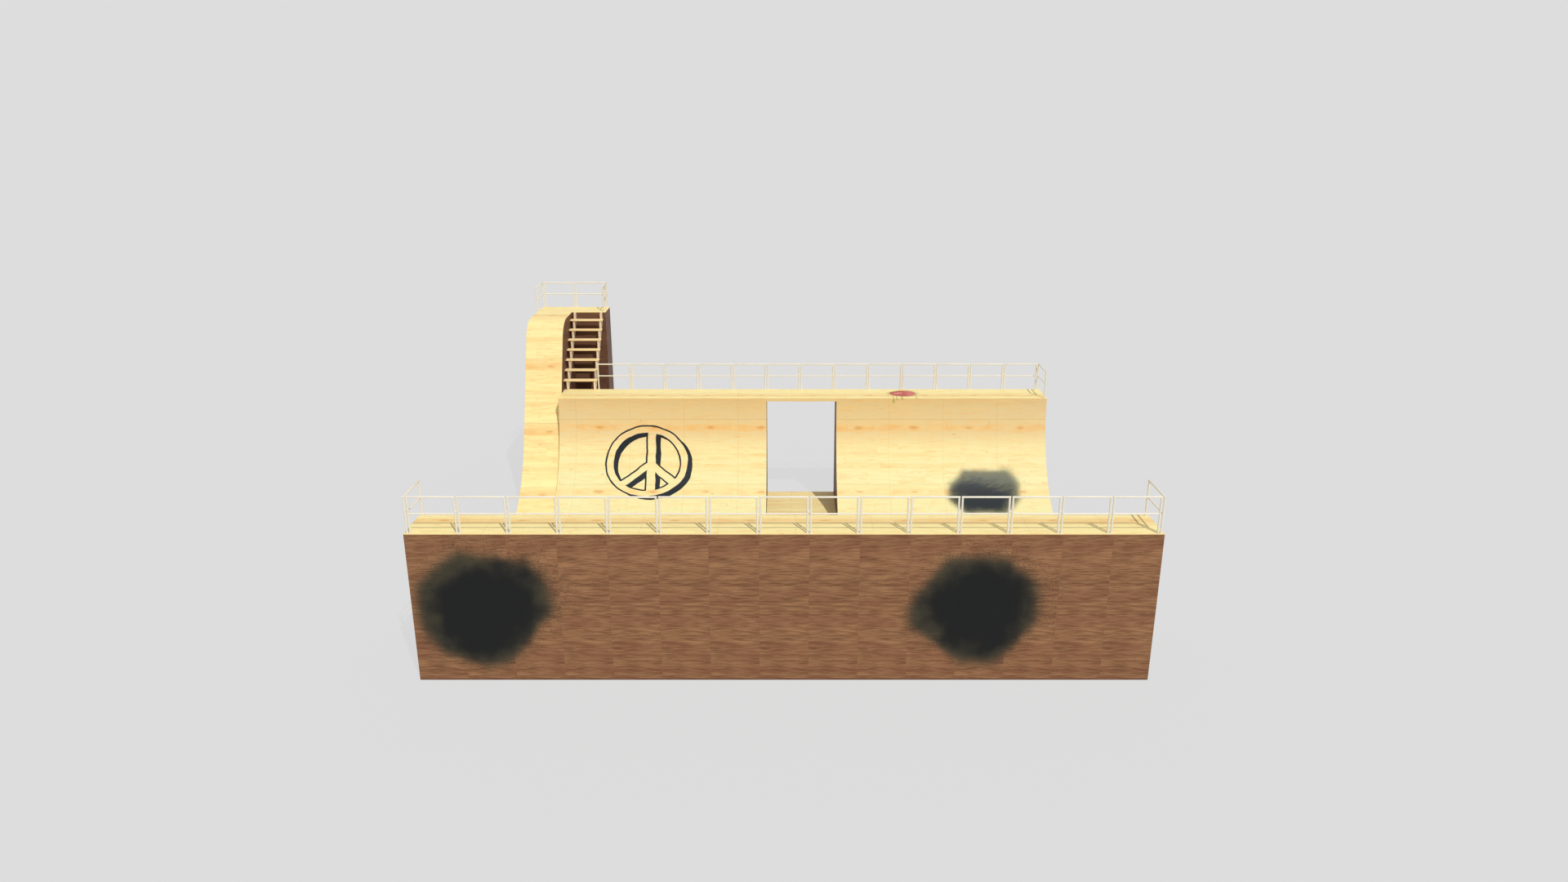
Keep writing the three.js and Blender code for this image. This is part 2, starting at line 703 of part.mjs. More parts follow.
// A strap that ties the two posts on either side of x, above the mid rail.
function strap(x) {
  const half = railPanelGap / 2 + letIn;
  const zMiddle = midRailHeight + strapRise;
  return box(
    x - half, x + half, -strapThickness / 2, strapThickness / 2,
    zMiddle - strapHeight / 2, zMiddle + strapHeight / 2,
  );
}

// Panels side by side. Where two meet, their posts share a base plate and are tied by a strap.
function railRun(count, pitch) {
  const panel = railPanel(pitch);
  const solids = [];
  for (let i = 0; i < count; i += 1) solids.push(panel.translate([(i - (count - 1) / 2) * pitch, 0, 0]));
  const pair = railPanelGap / 2 + 2 * tubeRadius;
  for (let i = 1; i < count; i += 1) {
    const x = (i - count / 2) * pitch;
    solids.push(basePlate(x - pair, x + pair), strap(x));
  }
  const end = (count * pitch - railPanelGap) / 2;
  solids.push(basePlate(-end, 2 * tubeRadius - end), basePlate(end - 2 * tubeRadius, end));
  return join(solids);
}

function placeRail(group, name, solid, x, y, z, turned) {
  const mesh = piece(group, name, solid, materials.rail);
  mesh.position.set(x, y, z + seatGap);
  mesh.rotation.z = turned ? Math.PI / 2 : 0;
}

// A straight line of panels between two limits, made as runs that are carried in one piece.
function railLine(group, name, count, xFrom, xTo, y, z) {
  const pitch = (xTo - xFrom) / count;
  let done = 0;
  railRunNames.forEach((part, i) => {
    const panels = Math.ceil((count - done) / (railRunNames.length - i));
    const x = xFrom + (done + panels / 2) * pitch;
    placeRail(group, `${name}_${part}`, railRun(panels, pitch), x, y, z, false);
    done += panels;
  });
}

// From the centre line of a panel that crosses a deck to the limit of the run beside it: their base
// plates stay clear of each other.
const cornerStep = basePlateWidth / 2 + basePlateClearance + basePlateMargin - railPanelGap / 2;

function rails() {
  const group = new THREE.Group();
  const towerRailDepth = towerDepth - towerRailSetback;
  const crossPanel = railRun(1, deckDepth - 2 * railEndInset + railPanelGap);
  const towerPanel = railRun(1, towerRailDepth - 2 * railEndInset + railPanelGap);
  const yFrontEdge = yFrontFoot - yWall;
  const yRearEdge = yRearFoot + yWall;
  const yTowerEdge = yRearFoot + yTowerBack;
  const xEnd = xRight - crossRailInset;
  const xRun = xEnd - cornerStep;

  railLine(group, 'front_rail', frontRailPanels, -xRun, xRun, yFrontEdge + railEdgeInset, deckHeight);
  const yFrontCross = yFrontEdge + deckDepth / 2;
  placeRail(group, 'front_rail_left_end', crossPanel, -xEnd, yFrontCross, deckHeight, true);
  placeRail(group, 'front_rail_right_end', crossPanel, xEnd, yFrontCross, deckHeight, true);

  const xRearRun = xTower - rearRailOverlap;
  railLine(group, 'rear_rail', rearRailPanels, xRearRun, xRun, yRearEdge - railEdgeInset, deckHeight);
  placeRail(group, 'rear_rail_right_end', crossPanel, xEnd, yRearEdge - deckDepth / 2, deckHeight, true);

  const xLeftPanel = xLeft + railEdgeInset;
  const xRightPanel = xTower - crossRailInset;
  const backRun = railRun(towerRailPanels, (xRightPanel - xLeftPanel - 2 * cornerStep) / towerRailPanels);
  const xBackRun = (xLeftPanel + xRightPanel) / 2;
  const yBackRun = yTowerEdge - railEdgeInset;
  const yLeftPanel = yTowerEdge - deckDepth / 2;
  const yRightPanel = yTowerEdge - towerRailDepth / 2;
  placeRail(group, 'tower_rail_back', backRun, xBackRun, yBackRun, platformHeight, false);
  placeRail(group, 'tower_rail_left', crossPanel, xLeftPanel, yLeftPanel, platformHeight, true);
  placeRail(group, 'tower_rail_right', towerPanel, xRightPanel, yRightPanel, platformHeight, true);
  return group;
}

const skateRamp = new THREE.Group();
skateRamp.add(flatBottom(), frontQuarter(), rearQuarter(), rollInAndTower(), stairs(), rails());

export default skateRamp;
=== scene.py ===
"""Dresses the packed skate ramp in sheeted riding surfaces, stained cladding, tube rails and paint.

Everything is in metres in the frame of the CAD. X runs along the lips, Y from the front quarter to the
rear one and the tower, and Z up.
"""

import math

import bmesh
import bpy
from bpy.props import FloatProperty, FloatVectorProperty, IntProperty, PointerProperty
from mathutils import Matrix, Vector


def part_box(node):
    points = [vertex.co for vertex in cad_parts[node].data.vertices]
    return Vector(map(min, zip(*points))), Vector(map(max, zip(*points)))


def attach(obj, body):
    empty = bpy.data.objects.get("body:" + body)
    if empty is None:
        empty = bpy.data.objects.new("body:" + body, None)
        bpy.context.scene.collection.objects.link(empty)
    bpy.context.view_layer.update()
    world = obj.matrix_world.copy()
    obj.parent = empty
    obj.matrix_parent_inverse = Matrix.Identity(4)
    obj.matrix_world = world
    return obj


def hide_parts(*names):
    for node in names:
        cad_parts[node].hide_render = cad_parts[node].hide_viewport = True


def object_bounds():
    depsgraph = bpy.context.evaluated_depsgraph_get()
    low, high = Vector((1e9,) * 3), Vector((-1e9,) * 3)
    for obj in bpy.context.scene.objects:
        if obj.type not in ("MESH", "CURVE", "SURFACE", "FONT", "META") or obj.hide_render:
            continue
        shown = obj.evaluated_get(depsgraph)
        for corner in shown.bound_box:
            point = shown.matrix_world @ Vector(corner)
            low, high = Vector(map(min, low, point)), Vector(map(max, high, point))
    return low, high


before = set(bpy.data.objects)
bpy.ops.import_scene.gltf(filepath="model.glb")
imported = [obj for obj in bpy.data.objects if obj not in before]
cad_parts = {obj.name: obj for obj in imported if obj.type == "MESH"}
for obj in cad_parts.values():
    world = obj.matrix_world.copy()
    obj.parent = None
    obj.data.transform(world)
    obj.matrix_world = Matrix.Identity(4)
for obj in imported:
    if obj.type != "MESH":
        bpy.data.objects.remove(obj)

bl_info = {
    "name": "Skate Ramp Looks",
    "version": (1, 0, 0),
    "blender": (4, 5, 0),
    "location": "3D View > Sidebar > Skate Ramp",
    "description": "Dresses the packed skate ramp with plywood, stained cladding, tube rails and paint",
    "category": "Object",
}

CAD_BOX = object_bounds()
BODY = "root"

# Places read from the frame
FRONT_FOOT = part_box("front_skin")[1].y
REAR_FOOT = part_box("rear_left_skin")[0].y
FRONT_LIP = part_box("front_deck")[1].y
REAR_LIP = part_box("rear_deck")[0].y
FLOOR_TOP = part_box("flat_bottom")[1].z
DECK_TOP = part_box("rear_deck")[1].z
UNDER_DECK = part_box("front_wall")[1].z
PLATFORM_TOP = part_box("tower_platform")[1].z
RADIUS = REAR_LIP - REAR_FOOT
CENTRE_Z = FLOOR_TOP + RADIUS

# Sizes that the frame's boxes don't give: the sheets and the timber under the floors
SHEET = 0.024
FLOOR_SHEET = 0.018
WALL_SHEET = 0.018
PLY_LAYER = 0.003
SLEEPER_WIDTH = 0.089
SLEEPER_SPACING = 0.61

# The roll-in
ROLL_IN_SETBACK = 0.23
ROLL_IN_SLOPE = math.radians(66.8)
BULLNOSE = 1.1

# The guard rails
PANEL_PITCH = 1.385
PANEL_GAP = 0.04
TUBE = 0.027
MID_TUBE = 0.023
MID_RAIL_HEIGHT = 0.575
PLATE_THICKNESS = 0.008
PLATE_MARGIN = 0.004
PLATE_HALF_WIDTH = 0.05
STRAP_RISE = 0.07
STRAP_HEIGHT = 0.06
STRAP_HALF_DEPTH = 0.006
STRAP_OVERLAP = 0.004
TUBE_END_ROUND = 0.002
WASHER_SHARE = 0.25
WASHER_SPREAD = 1.25
HEAD_ROUND = 0.12

# No seam is cut nearer than the margin to an end of its piece, and a cladding panel's level seam is cut
# no nearer than its own margin to the top or the bottom of the wall
SEAM_MARGIN = 0.05
LEVEL_MARGIN = 0.1

# How far off a seam's plane a point may lie, and how squarely a face has to look in a direction
ON_PLANE = 2e-5
FACING = 0.9
FACING_RIDER = 0.8

# An edge that bends more than the first angle is rounded, and one that bends less than the second is
# shaded smooth. Only the ends of a tube, and not its facets, bend more than the third.
SHARP_BEND = math.radians(40)
SMOOTH_BEND = math.radians(30)
TUBE_END_BEND = math.radians(60)

# Points of a CAD node nearer than this are one point, and faces that bend less than this are one face
MERGE_DISTANCE = 0.0001
FLAT_BEND = math.radians(1)

# The camera's place, its tilt below the horizon in degrees, its lens and sensor in millimetres
CAMERA_PLACE = (0, -36.52, 16.042)
CAMERA_TILT = 17.96
CAMERA_LENS = 24.444
CAMERA_SENSOR = 36
CAMERA_REACH = 2000

# The key light, and how far the studio floor lies below the ramp
SUN_PLACE = (6, -20, 20)
SUN_DIRECTION = Vector((-0.37, 0.70, -1.0))
SUN_SPREAD = math.radians(0.5)
FLOOR_DROP = 0.002

X_AXIS, Y_AXIS, Z_AXIS = Vector((1, 0, 0)), Vector((0, 1, 0)), Vector((0, 0, 1))

RAIL_NODES = [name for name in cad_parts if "_rail_" in name]


def srgb(red, green, blue):
    """A colour as a screen shows it, from 0 to 255, turned into the linear one that shaders use."""
    shares = [value / 255 for value in (red, green, blue)]
    return tuple(s / 12.92 if s <= 0.04045 else ((s + 0.055) / 1.055) ** 2.4 for s in shares)


def colour(name, description, default):
    """A setting that holds a colour."""
    return FloatVectorProperty(
        name=name, description=description, subtype="COLOR", size=3, min=0, max=1, default=default
    )


def length(name, description, default):
    """A setting that holds a length in metres."""
    return FloatProperty(
        name=name, description=description, subtype="DISTANCE", unit="LENGTH", default=default
    )


def share(name, description, default):
    """A setting that holds a share from 0 to 1."""
    return FloatProperty(
        name=name, description=description, subtype="FACTOR", min=0, max=1, default=default
    )


class RampSheets(bpy.types.PropertyGroup):
    """Sizes of the plywood sheets, their planked veneer and the cladding."""

    arc_steps: IntProperty(name="Arc steps", description="Facets along a quarter turn", default=60)
    sheet_length: length("Sheet length", "Length of one plywood sheet along the lip", 2.165)
    sheet_run: length("Sheet run", "Width of one plywood sheet up the curve", 2.66)
    first_seam: length("First seam", "Distance up the curve of the lowest seam", 0.755)
    seam_start: length("Seam start", "Place along the lip of one seam between sheets", -8.338)
    right_seam_start: length("Right seam start", "The same for the sheets right of the doorway", 2.035)
    bay: length("Bay", "Width of one cladding panel", 1.4)
    groove_width: length("Groove width", "Width of the gap between two sheets", 0.005)
    groove_depth: length("Groove depth", "Depth of the gap between two sheets", 0.002)
    edge_round: length("Edge round", "Rounding of a sheet's outer edges", 0.004)


class RampRails(bpy.types.PropertyGroup):
    """Sizes of the details on the guard rails."""

    tube_sides: IntProperty(name="Tube sides", description="Facets round a tube", default=20)
    weld: length("Weld", "Radius of the weld bead where two tubes meet", 0.004)
    bolt_radius: length("Bolt radius", "Radius over the corners of a bolt's head", 0.008)
    bolt_height: length("Bolt height", "Height of a bolt's head", 0.006)
    bolt_offset: length("Bolt offset", "Distance of a bolt from the rail's centre line", 0.039)
    plate_round: length("Plate round", "Rounding of a base plate's edges", 0.002)


class RampStairs(bpy.types.PropertyGroup):
    """Sizes of the details on the stairs."""

    tread_round: length("Tread round", "Rounding of a tread's edges", 0.012)
    stringer_round: length("Stringer round", "Rounding of a stringer's edges", 0.004)


class RampFinish(bpy.types.PropertyGroup):
    """Colours of the ramp's finishes."""

    pale_wood: colour("Pale wood", "Bleached planks low on the riding surface", srgb(236, 230, 174))
    cream_wood: colour("Cream wood", "Planks half way up the curve", srgb(244, 231, 173))
    deck_wood: colour("Deck wood", "Planks of the decks and floors", srgb(254, 238, 171))
    warm_wood: colour("Warm wood", "Yellow planks of every surface", srgb(246, 214, 148))
    lip_wood: colour("Lip wood", "Greyer planks near the lip", srgb(232, 209, 160))
    orange_wood: colour("Orange wood", "Orange grain around the knots", srgb(240, 186, 110))
    # The knot colour also stands in as painted shade just under the lip of a curve
    knot: colour("Knot", "Heart of a knot", srgb(206, 140, 76))
    seam: colour("Seam", "Dirt in the seams between sheets", srgb(150, 128, 92))
    brown_light: colour("Light brown", "Light streaks of the stained cladding", srgb(171, 126, 88))
    brown_dark: colour("Dark brown", "Dark streaks of the stained cladding", srgb(105, 67, 43))
    brown_red: colour("Red brown", "Reddish patches of the stained cladding", srgb(132, 84, 60))
    # Darker brown that is painted shade: on the tower's walls, the closed sides and the jambs, and along
    # the foot of every wall
    brown_shade: colour("Aged brown", "Darker stain of the closed sides", srgb(88, 60, 50))
    tread: colour("Tread", "Planed boards of the stairs", srgb(255, 230, 176))
    framing: colour("Framing", "Sawn softwood of the hidden frame", srgb(206, 168, 116))
    stringer: colour("Stringer", "Planed timber of the stringers", srgb(244, 224, 194))
    rail: colour("Rail", "Powder coat on the tubes", srgb(240, 232, 213))
    steel: colour("Steel", "Zinc plate of the bolts", srgb(178, 176, 170))
    spray: colour("Spray", "Dense black spray paint", srgb(22, 23, 23))
    spray_haze: colour("Spray haze", "Thin edge of the black spray paint", srgb(57, 59, 45))
    curve_spray: colour("Curve spray", "Dense spray paint on the curve", srgb(40, 46, 50))
    curve_haze: colour("Curve haze", "Thin spray paint on the curve", srgb(104, 106, 86))
    marker: colour("Marker", "Charcoal paint of the sign", srgb(32, 36, 43))
    smear: colour("Smear", "Red paint of the smear", srgb(186, 70, 60))
    smear_light: colour("Smear light", "Light streak in the red paint", srgb(240, 148, 144))
    smear_rim: colour("Smear rim", "Yellow and green rim of the red paint", srgb(188, 190, 88))
    smear_drip: colour("Smear drip", "Dark runs below the red paint", srgb(150, 118, 56))


class RampPaint(bpy.types.PropertyGroup):
    """Places of the paint, in metres along the lip and up the surface."""

    sign_along: length("Sign along", "Middle of the peace sign along the lip", -5.475)
    sign_run: length("Sign run", "Middle of the peace sign up the curve", 4.33)
    sign_half_length: length("Sign half length", "Half of the sign's length along the lip", 1.66)
    sign_half_run: length("Sign half run", "Half of the sign's height up the curve", 1.475)
    curve_spray_along: length("Curve spray along", "Middle of the spray on the rear curve", 7.95)
    curve_spray_run: length("Curve spray run", "Height of that spray up the curve", 3.05)
    left_spray_along: length("Left spray along", "Middle of the left spray on the front wall", -8.4)
    right_spray_along: length("Right spray along", "Middle of the right spray on the front wall", 5.35)
    wall_spray_height: length("Wall spray height", "Height of the sprays on the front wall", 2.2)
    smear_along: length("Smear along", "Middle of the red smear along the lip", 4.8)
    smear_inset: length("Smear inset", "Distance of the red smear behind the lip", 0.72)


class RampStage(bpy.types.PropertyGroup):
    """Floor, light and camera."""

    backdrop: colour("Backdrop", "Floor and background as the camera sees them", srgb(221, 221, 221))
    floor_half: length("Floor half", "Half of the floor's side", 400)
    sky: share("Sky", "Strength of the even light from all round", 0.42)
    sun: FloatProperty(name="Sun", description="Strength of the key light", default=2.25)
    shadow: share("Shadow", "How much of the floor takes the light and shadow", 0.09)


SETTINGS = {
    "ramp_sheets": RampSheets,
    "ramp_rails": RampRails,
    "ramp_stairs": RampStairs,
    "ramp_finish": RampFinish,
    "ramp_paint": RampPaint,
    "ramp_stage": RampStage,
}


# Shader maths


class Wire:
    """A number inside a material that takes part in Python's arithmetic."""

    def __init__(self, graph, socket):
        self.graph = graph
        self.socket = socket

    def __add__(self, other):
        return self.graph.maths("ADD", self, other)

    def __radd__(self, other):
        return self.graph.maths("ADD", other, self)

    def __sub__(self, other):
        return self.graph.maths("SUBTRACT", self, other)

    def __rsub__(self, other):
        return self.graph.maths("SUBTRACT", other, self)

    def __mul__(self, other):
        return self.graph.maths("MULTIPLY", self, other)

    def __rmul__(self, other):
        return self.graph.maths("MULTIPLY", other, self)

    def __truediv__(self, other):
        return self.graph.maths("DIVIDE", self, other)

    def __rtruediv__(self, other):
        return self.graph.maths("DIVIDE", other, self)

    def __abs__(self):
        return self.graph.maths("ABSOLUTE", self)

    def floor(self):
        return self.graph.maths("FLOOR", self)

    def fraction(self):
        return self.graph.maths("FRACT", self)

    def clamped(self):
        return self.graph.lower(self.graph.higher(self, 0), 1)

    def from_ends(self):
        """How far a number between 0 and 1 is from the nearer of the two."""
        return self.graph.lower(self, 1 - self)


class Nodes:
    """The nodes of a material or a world, which end in its surface output."""

    def __init__(self, owner, end):
        owner.use_nodes = True
        self.tree = owner.node_tree
        self.tree.nodes.clear()
        self.end = self.tree.nodes.new(end)

    def feed(self, socket, value):
        """Links a socket to a wire, or sets it to a number or a colour."""
        if isinstance(value, Wire):
            self.tree.links.new(value.socket, socket)
        elif hasattr(value, "__len__") and socket.type == "RGBA" and len(value) == 3:
            socket.default_value = (*value, 1)
        else:
            socket.default_value = value

    def node(self, kind, settings=None, sockets=None, output=0):
        """Adds a node: its settings first, then the values or links of its sockets."""
        node = self.tree.nodes.new(kind)
        for key, value in (settings or {}).items():
            if key == "stops":
                self.set_stops(node.color_ramp, value)
            else:
                setattr(node, key, value)
        for key, value in (sockets or {}).items():
            self.feed(node.inputs[key], value)
        return Wire(self, node.outputs[output])

    def steps(self, value, stops):
        """A number that changes at each stop, given as pairs of a place from 0 to 1 and a value."""
        return self.node("ShaderNodeValToRGB", {"stops": stops}, {0: value})

    def set_stops(self, ramp, stops):
        """Puts one stop on a colour ramp for each pair of a place and a value."""
        ramp.interpolation = "CONSTANT"
        while len(ramp.elements) < len(stops):
            ramp.elements.new(1)
        for element, (position, value) in zip(ramp.elements, stops):
            element.position = position
            element.color = (value, value, value, 1)

    def maths(self, operation, *values):
        return self.node("ShaderNodeMath", {"operation": operation}, dict(enumerate(values)))

    def higher(self, first, second):
        return self.maths("MAXIMUM", first, second)

    def lower(self, first, second):
        return self.maths("MINIMUM", first, second)

    def smooth(self, value, start, end):
        """0 up to the start, 1 past the end and a smooth step between them. The end may be the lower."""
        settings = {"interpolation_type": "SMOOTHSTEP"}
        sockets = {"Value": value, "From Min": start, "From Max": end}
        return self.node("ShaderNodeMapRange", settings, sockets)

    def point(self, x, y, z=0):
        return self.node("ShaderNodeCombineXYZ", None, {0: x, 1: y, 2: z})

    def noise(self, point, scale, detail=3, roughness=0.5):
        sockets = {"Vector": point, "Scale": scale, "Detail": detail, "Roughness": roughness}
        return self.node("ShaderNodeTexNoise", {"noise_dimensions": "3D"}, sockets)

    def chance(self, x, y, z=0):
        """An even chance from 0 to 1 that is the same for the same three numbers."""
        settings = {"noise_dimensions": "3D"}
        return self.node("ShaderNodeTexWhiteNoise", settings, {"Vector": self.point(x, y, z)})

    def mix(self, factor, first, second):
        """Mixes two colours. Sockets 6 and 7 of the node are its colours, and its output 2 is one."""
        settings = {"data_type": "RGBA", "blend_type": "MIX", "clamp_factor": True}
        return self.node("ShaderNodeMix", settings, {0: factor, 6: first, 7: second}, output=2)

    def place(self):
        """The place on the piece, as three numbers."""
        point = self.node("ShaderNodeTexCoord", output="Object")
        return [self.node("ShaderNodeSeparateXYZ", None, {0: point}, output=axis) for axis in "XYZ"]

    def stored(self, name):
        """A number that is kept for each vertex of the piece."""
        return self.node("ShaderNodeAttribute", {"attribute_name": name}, output="Fac")

    def bump(self, height, distance, strength=0.6):
        sockets = {"Strength": strength, "Distance": distance, "Height": height}
        return self.node("ShaderNodeBump", None, sockets)

    def mix_ends(self, factor, first, second):
        """Mixes two shaders and feeds the surface output with them."""
        mixed = self.node("ShaderNodeMixShader", None, {0: factor, 1: first, 2: second})
        self.feed(self.end.inputs["Surface"], mixed)


class Graph(Nodes):
    """The nodes of one finish, which is a Principled BSDF."""

    def __init__(self, name, gleam=0.2):
        self.material = bpy.data.materials.new(name)
        super().__init__(self.material, "ShaderNodeOutputMaterial")
        self.surface = self.tree.nodes.new("ShaderNodeBsdfPrincipled")
        self.surface.inputs["Specular IOR Level"].default_value = gleam
        self.tree.links.new(self.surface.outputs[0], self.end.inputs["Surface"])

    def finish(self, **sockets):
        """Feeds the surface and returns the finished material."""
        for name, value in sockets.items():
            self.feed(self.surface.inputs[name.replace("_", " ").title()], value)
        return self.material


# Finishes


# Rows of planks on one sheet, from its lower seam up: the place where each starts and how warm it is
PLANK_ROWS = (
    (0.0, 0.0), (0.124, 0.22), (0.256, 0.55), (0.331, 0.1), (0.432, 0.45),
    (0.489, 0.15), (0.632, 0.32), (0.82, 1.0), (0.925, 0.55),
)
PLANKS_PER_SHEET = 2

# The large knot and the warm patch of each sheet, in metres from its lower left corner, with half of
# each one's size, and how far they shift along the lip from sheet to sheet
KNOT_PLACE, KNOT_HALF = (0.95, 2.33), (0.19, 0.07)
PATCH_PLACE, PATCH_HALF = (0.17, 2.3), (0.3, 0.14)
KNOT_SHIFT = 0.22

# Distances up a curve between which its wood changes, and over which painted shade darkens its top under
# the lip
CREAM_TO_PALE = (5.1, 3.7)
CREAM_TO_LIP = (4.8, 5.7)
# Painted shade just under the lip
LIP_SHADE = (6.5, 6.95)
BLEACHED_TO_FRESH = (3.0, 4.4)


def blob(u, v, half_u, half_v):
    """0 at the middle of an ellipse and 1 on it."""
    return u * u / half_u ** 2 + v * v / half_v ** 2


def veneer(graph, along, run, looks, sheets, start, curved, warmer=0.0):
    """Colour, relief and streaks of planked veneer, whose planks run along the lip.

    The start is the place of one upright seam. A curve is bleached at its foot, greyer near its lip and
    darkened just under the lip by painted shade.
    A warmer sheet has more yellow in it.
    """
    sheet_u = (along - start) / sheets.sheet_length
    sheet_v = (run - sheets.first_seam) / sheets.sheet_run
    sheet = graph.chance(sheet_u.floor(), sheet_v.floor())
    level = sheet_v.fraction()
    row = graph.steps(level, [(edge, i / len(PLANK_ROWS)) for i, (edge, _) in enumerate(PLANK_ROWS)])
    plank = sheet_u * PLANKS_PER_SHEET + graph.chance(row, sheet, 3)
    tone = graph.chance(row, plank.floor(), sheet_v.floor())

    wander = graph.noise(graph.point(along * 0.9, run * 3, tone * 9), 1)
    streaks = graph.noise(graph.point(along * 0.9, run * 34 + wander * 7, tone * 31), 1, detail=5)
    drift = graph.noise(graph.point(along * 0.8, run * 8 + wander, tone * 17), 1, detail=3) - 0.5
    fringe = graph.noise(graph.point(along * 1.6, run * 26, 4), 1, detail=4) - 0.5
    row_warmth = graph.steps((level + fringe * 0.05).clamped(), PLANK_ROWS)

    metre_u = sheet_u.fraction() * sheets.sheet_length - (sheet - 0.5) * KNOT_SHIFT
    metre_v = level * sheets.sheet_run
    knot = blob(metre_u - KNOT_PLACE[0], metre_v - KNOT_PLACE[1], *KNOT_HALF)
    heart = graph.smooth(knot + (streaks - 0.5) * 2.6 + (wander - 0.5) * 2, 1.0, 0.1)
    flare = graph.smooth(knot * 0.25 + wander * 1.4, 1.55, 0.55)
    patch = blob(metre_u - PATCH_PLACE[0], metre_v - PATCH_PLACE[1], *PATCH_HALF)
    patch = graph.smooth(patch + wander, 1.5, 0.5)

    base, ripe, variety, fresh = looks.deck_wood, 0.0, 0.3, 1.0
    if curved:
        base = graph.mix(graph.smooth(run, *CREAM_TO_PALE), looks.cream_wood, looks.pale_wood)
        ripe = graph.smooth(run, *CREAM_TO_LIP)
        base = graph.mix(ripe * 0.9, base, looks.lip_wood)
        # Painted shade just under the lip: the top of the curve is mixed a little towards the knot
        # colour
        base = graph.mix(graph.smooth(run, *LIP_SHADE) * 0.14, base, looks.knot)
        variety = 1 - ripe * 0.5
        fresh = graph.smooth(run, *BLEACHED_TO_FRESH) * 0.5 + 0.5
    rows = row_warmth * (1 - ripe * 0.5) * fresh
    warmth = (rows + (tone - 0.5) * 0.24 * variety + drift * 1.5 + warmer - 0.08).clamped()
    colour_now = graph.mix(warmth, base, looks.warm_wood)
    blush = graph.noise(graph.point(along * 0.8, run * 2.2, tone * 3), 1, detail=2)
    glow = 0.1 + graph.smooth(blush, 0.42, 0.62) * 0.3 + drift * 0.8
    ember = graph.smooth(row_warmth, 0.45, 1.0) * glow * fresh + ripe * 0.1
    orange = (ember * (0.6 + ripe * 0.4) + flare * 0.28 + patch * 0.25).clamped()
    colour_now = graph.mix(orange, colour_now, looks.orange_wood)
    mottle = graph.noise(graph.point(along * 1.5, run * 8 + wander * 2, tone * 5 + 3), 1, detail=3)
    grain = graph.smooth(streaks, 0.48, 0.75) * 0.3 + graph.smooth(mottle, 0.5, 0.7) * 0.26
    colour_now = graph.mix(grain, colour_now, looks.orange_wood)
    pin = graph.smooth(graph.noise(graph.point(along * 3, run * 7, tone), 1, detail=1), 0.72, 0.8)
    colour_now = graph.mix(heart * 0.42 + pin * 0.3, colour_now, looks.knot)

    upright = graph.smooth(sheet_u.fraction().from_ends() * sheets.sheet_length, 0.014, 0.004)
    flat = graph.smooth(level.from_ends() * sheets.sheet_run, 0.016, 0.004)
    plank_length = sheets.sheet_length / PLANKS_PER_SHEET
    butt = graph.smooth(plank.fraction().from_ends() * plank_length, 0.006, 0.001)
    colour_now = graph.mix(upright * 0.15 + flat * 0.25, colour_now, looks.seam)
    colour_now = graph.mix(butt * 0.15, colour_now, looks.knot)
    return colour_now, streaks * 0.4 - upright - flat, streaks


def layered_edge(graph, colour_now, looks):
    """The glued layers of plywood, shown where a sheet is cut."""
    depth = graph.stored("depth")
    layer = (depth / PLY_LAYER).floor()
    dark = graph.chance(layer, 5) * 0.7 + 0.1
    inside = graph.smooth(depth, 0.0008, 0.0016)
    return graph.mix(inside * dark, colour_now, looks.orange_wood)


# The peace sign in shares of its radius: the middle and half width of its ring and of its stem, where
# its arms start, the direction and half width of each, and how far its drop shade lies from it
SIGN_RING = (0.9, 0.1)
SIGN_STEM = (0.105, 0.115)
SIGN_JOINT = (0.1, -0.04)
SIGN_ARMS = ((-0.77, -0.639, 0.1), (0.707, -0.707, 0.113))
SIGN_SHADE = (0.1, -0.09)
SIGN_SHAKE = 0.08


def peace_sign(graph, u, v):
    """Signed distance to the sign's shape, where its radius is 1: below zero inside."""
    inner = graph.maths("SQRT", u * u + v * v) - SIGN_RING[0]
    ring = abs(inner) - SIGN_RING[1]
    stem = abs(u - SIGN_STEM[0]) - SIGN_STEM[1]
    shape = graph.lower(ring, graph.higher(stem, inner))
    right, up = u - SIGN_JOINT[0], v - SIGN_JOINT[1]
    for slope_x, slope_y, half in SIGN_ARMS:
        reach = right * slope_x + up * slope_y
        offset = abs(right * slope_y - up * slope_x) - half
        arm = graph.higher(graph.higher(offset, 0 - reach), inner)
        shape = graph.lower(shape, arm)
    return shape


def sign_mask(graph, along, run, paint):
    """The painted outline of the sign and the drop shade on its right and lower side."""
    shake = graph.noise(graph.point(along, run), 1.5, detail=2)
    shake_too = graph.noise(graph.point(along, run, 5), 1.5, detail=2)
    u = (along - paint.sign_along) / paint.sign_half_length + (shake - 0.5) * SIGN_SHAKE
    v = (run - paint.sign_run) / paint.sign_half_run + (shake_too - 0.5) * SIGN_SHAKE
    shape = peace_sign(graph, u, v)
    shade = peace_sign(graph, u - SIGN_SHADE[0], v - SIGN_SHADE[1])
    outline = graph.smooth(abs(shape), 0.026, 0.015)
    dropped = graph.smooth(shade, 0.004, -0.004) * graph.smooth(shape, -0.004, 0.004)
    worn = graph.smooth(graph.noise(graph.point(along, run, 2), 26), 0.26, 0.34)
    return graph.higher(outline, dropped) * (worn * 0.04 + 0.96)


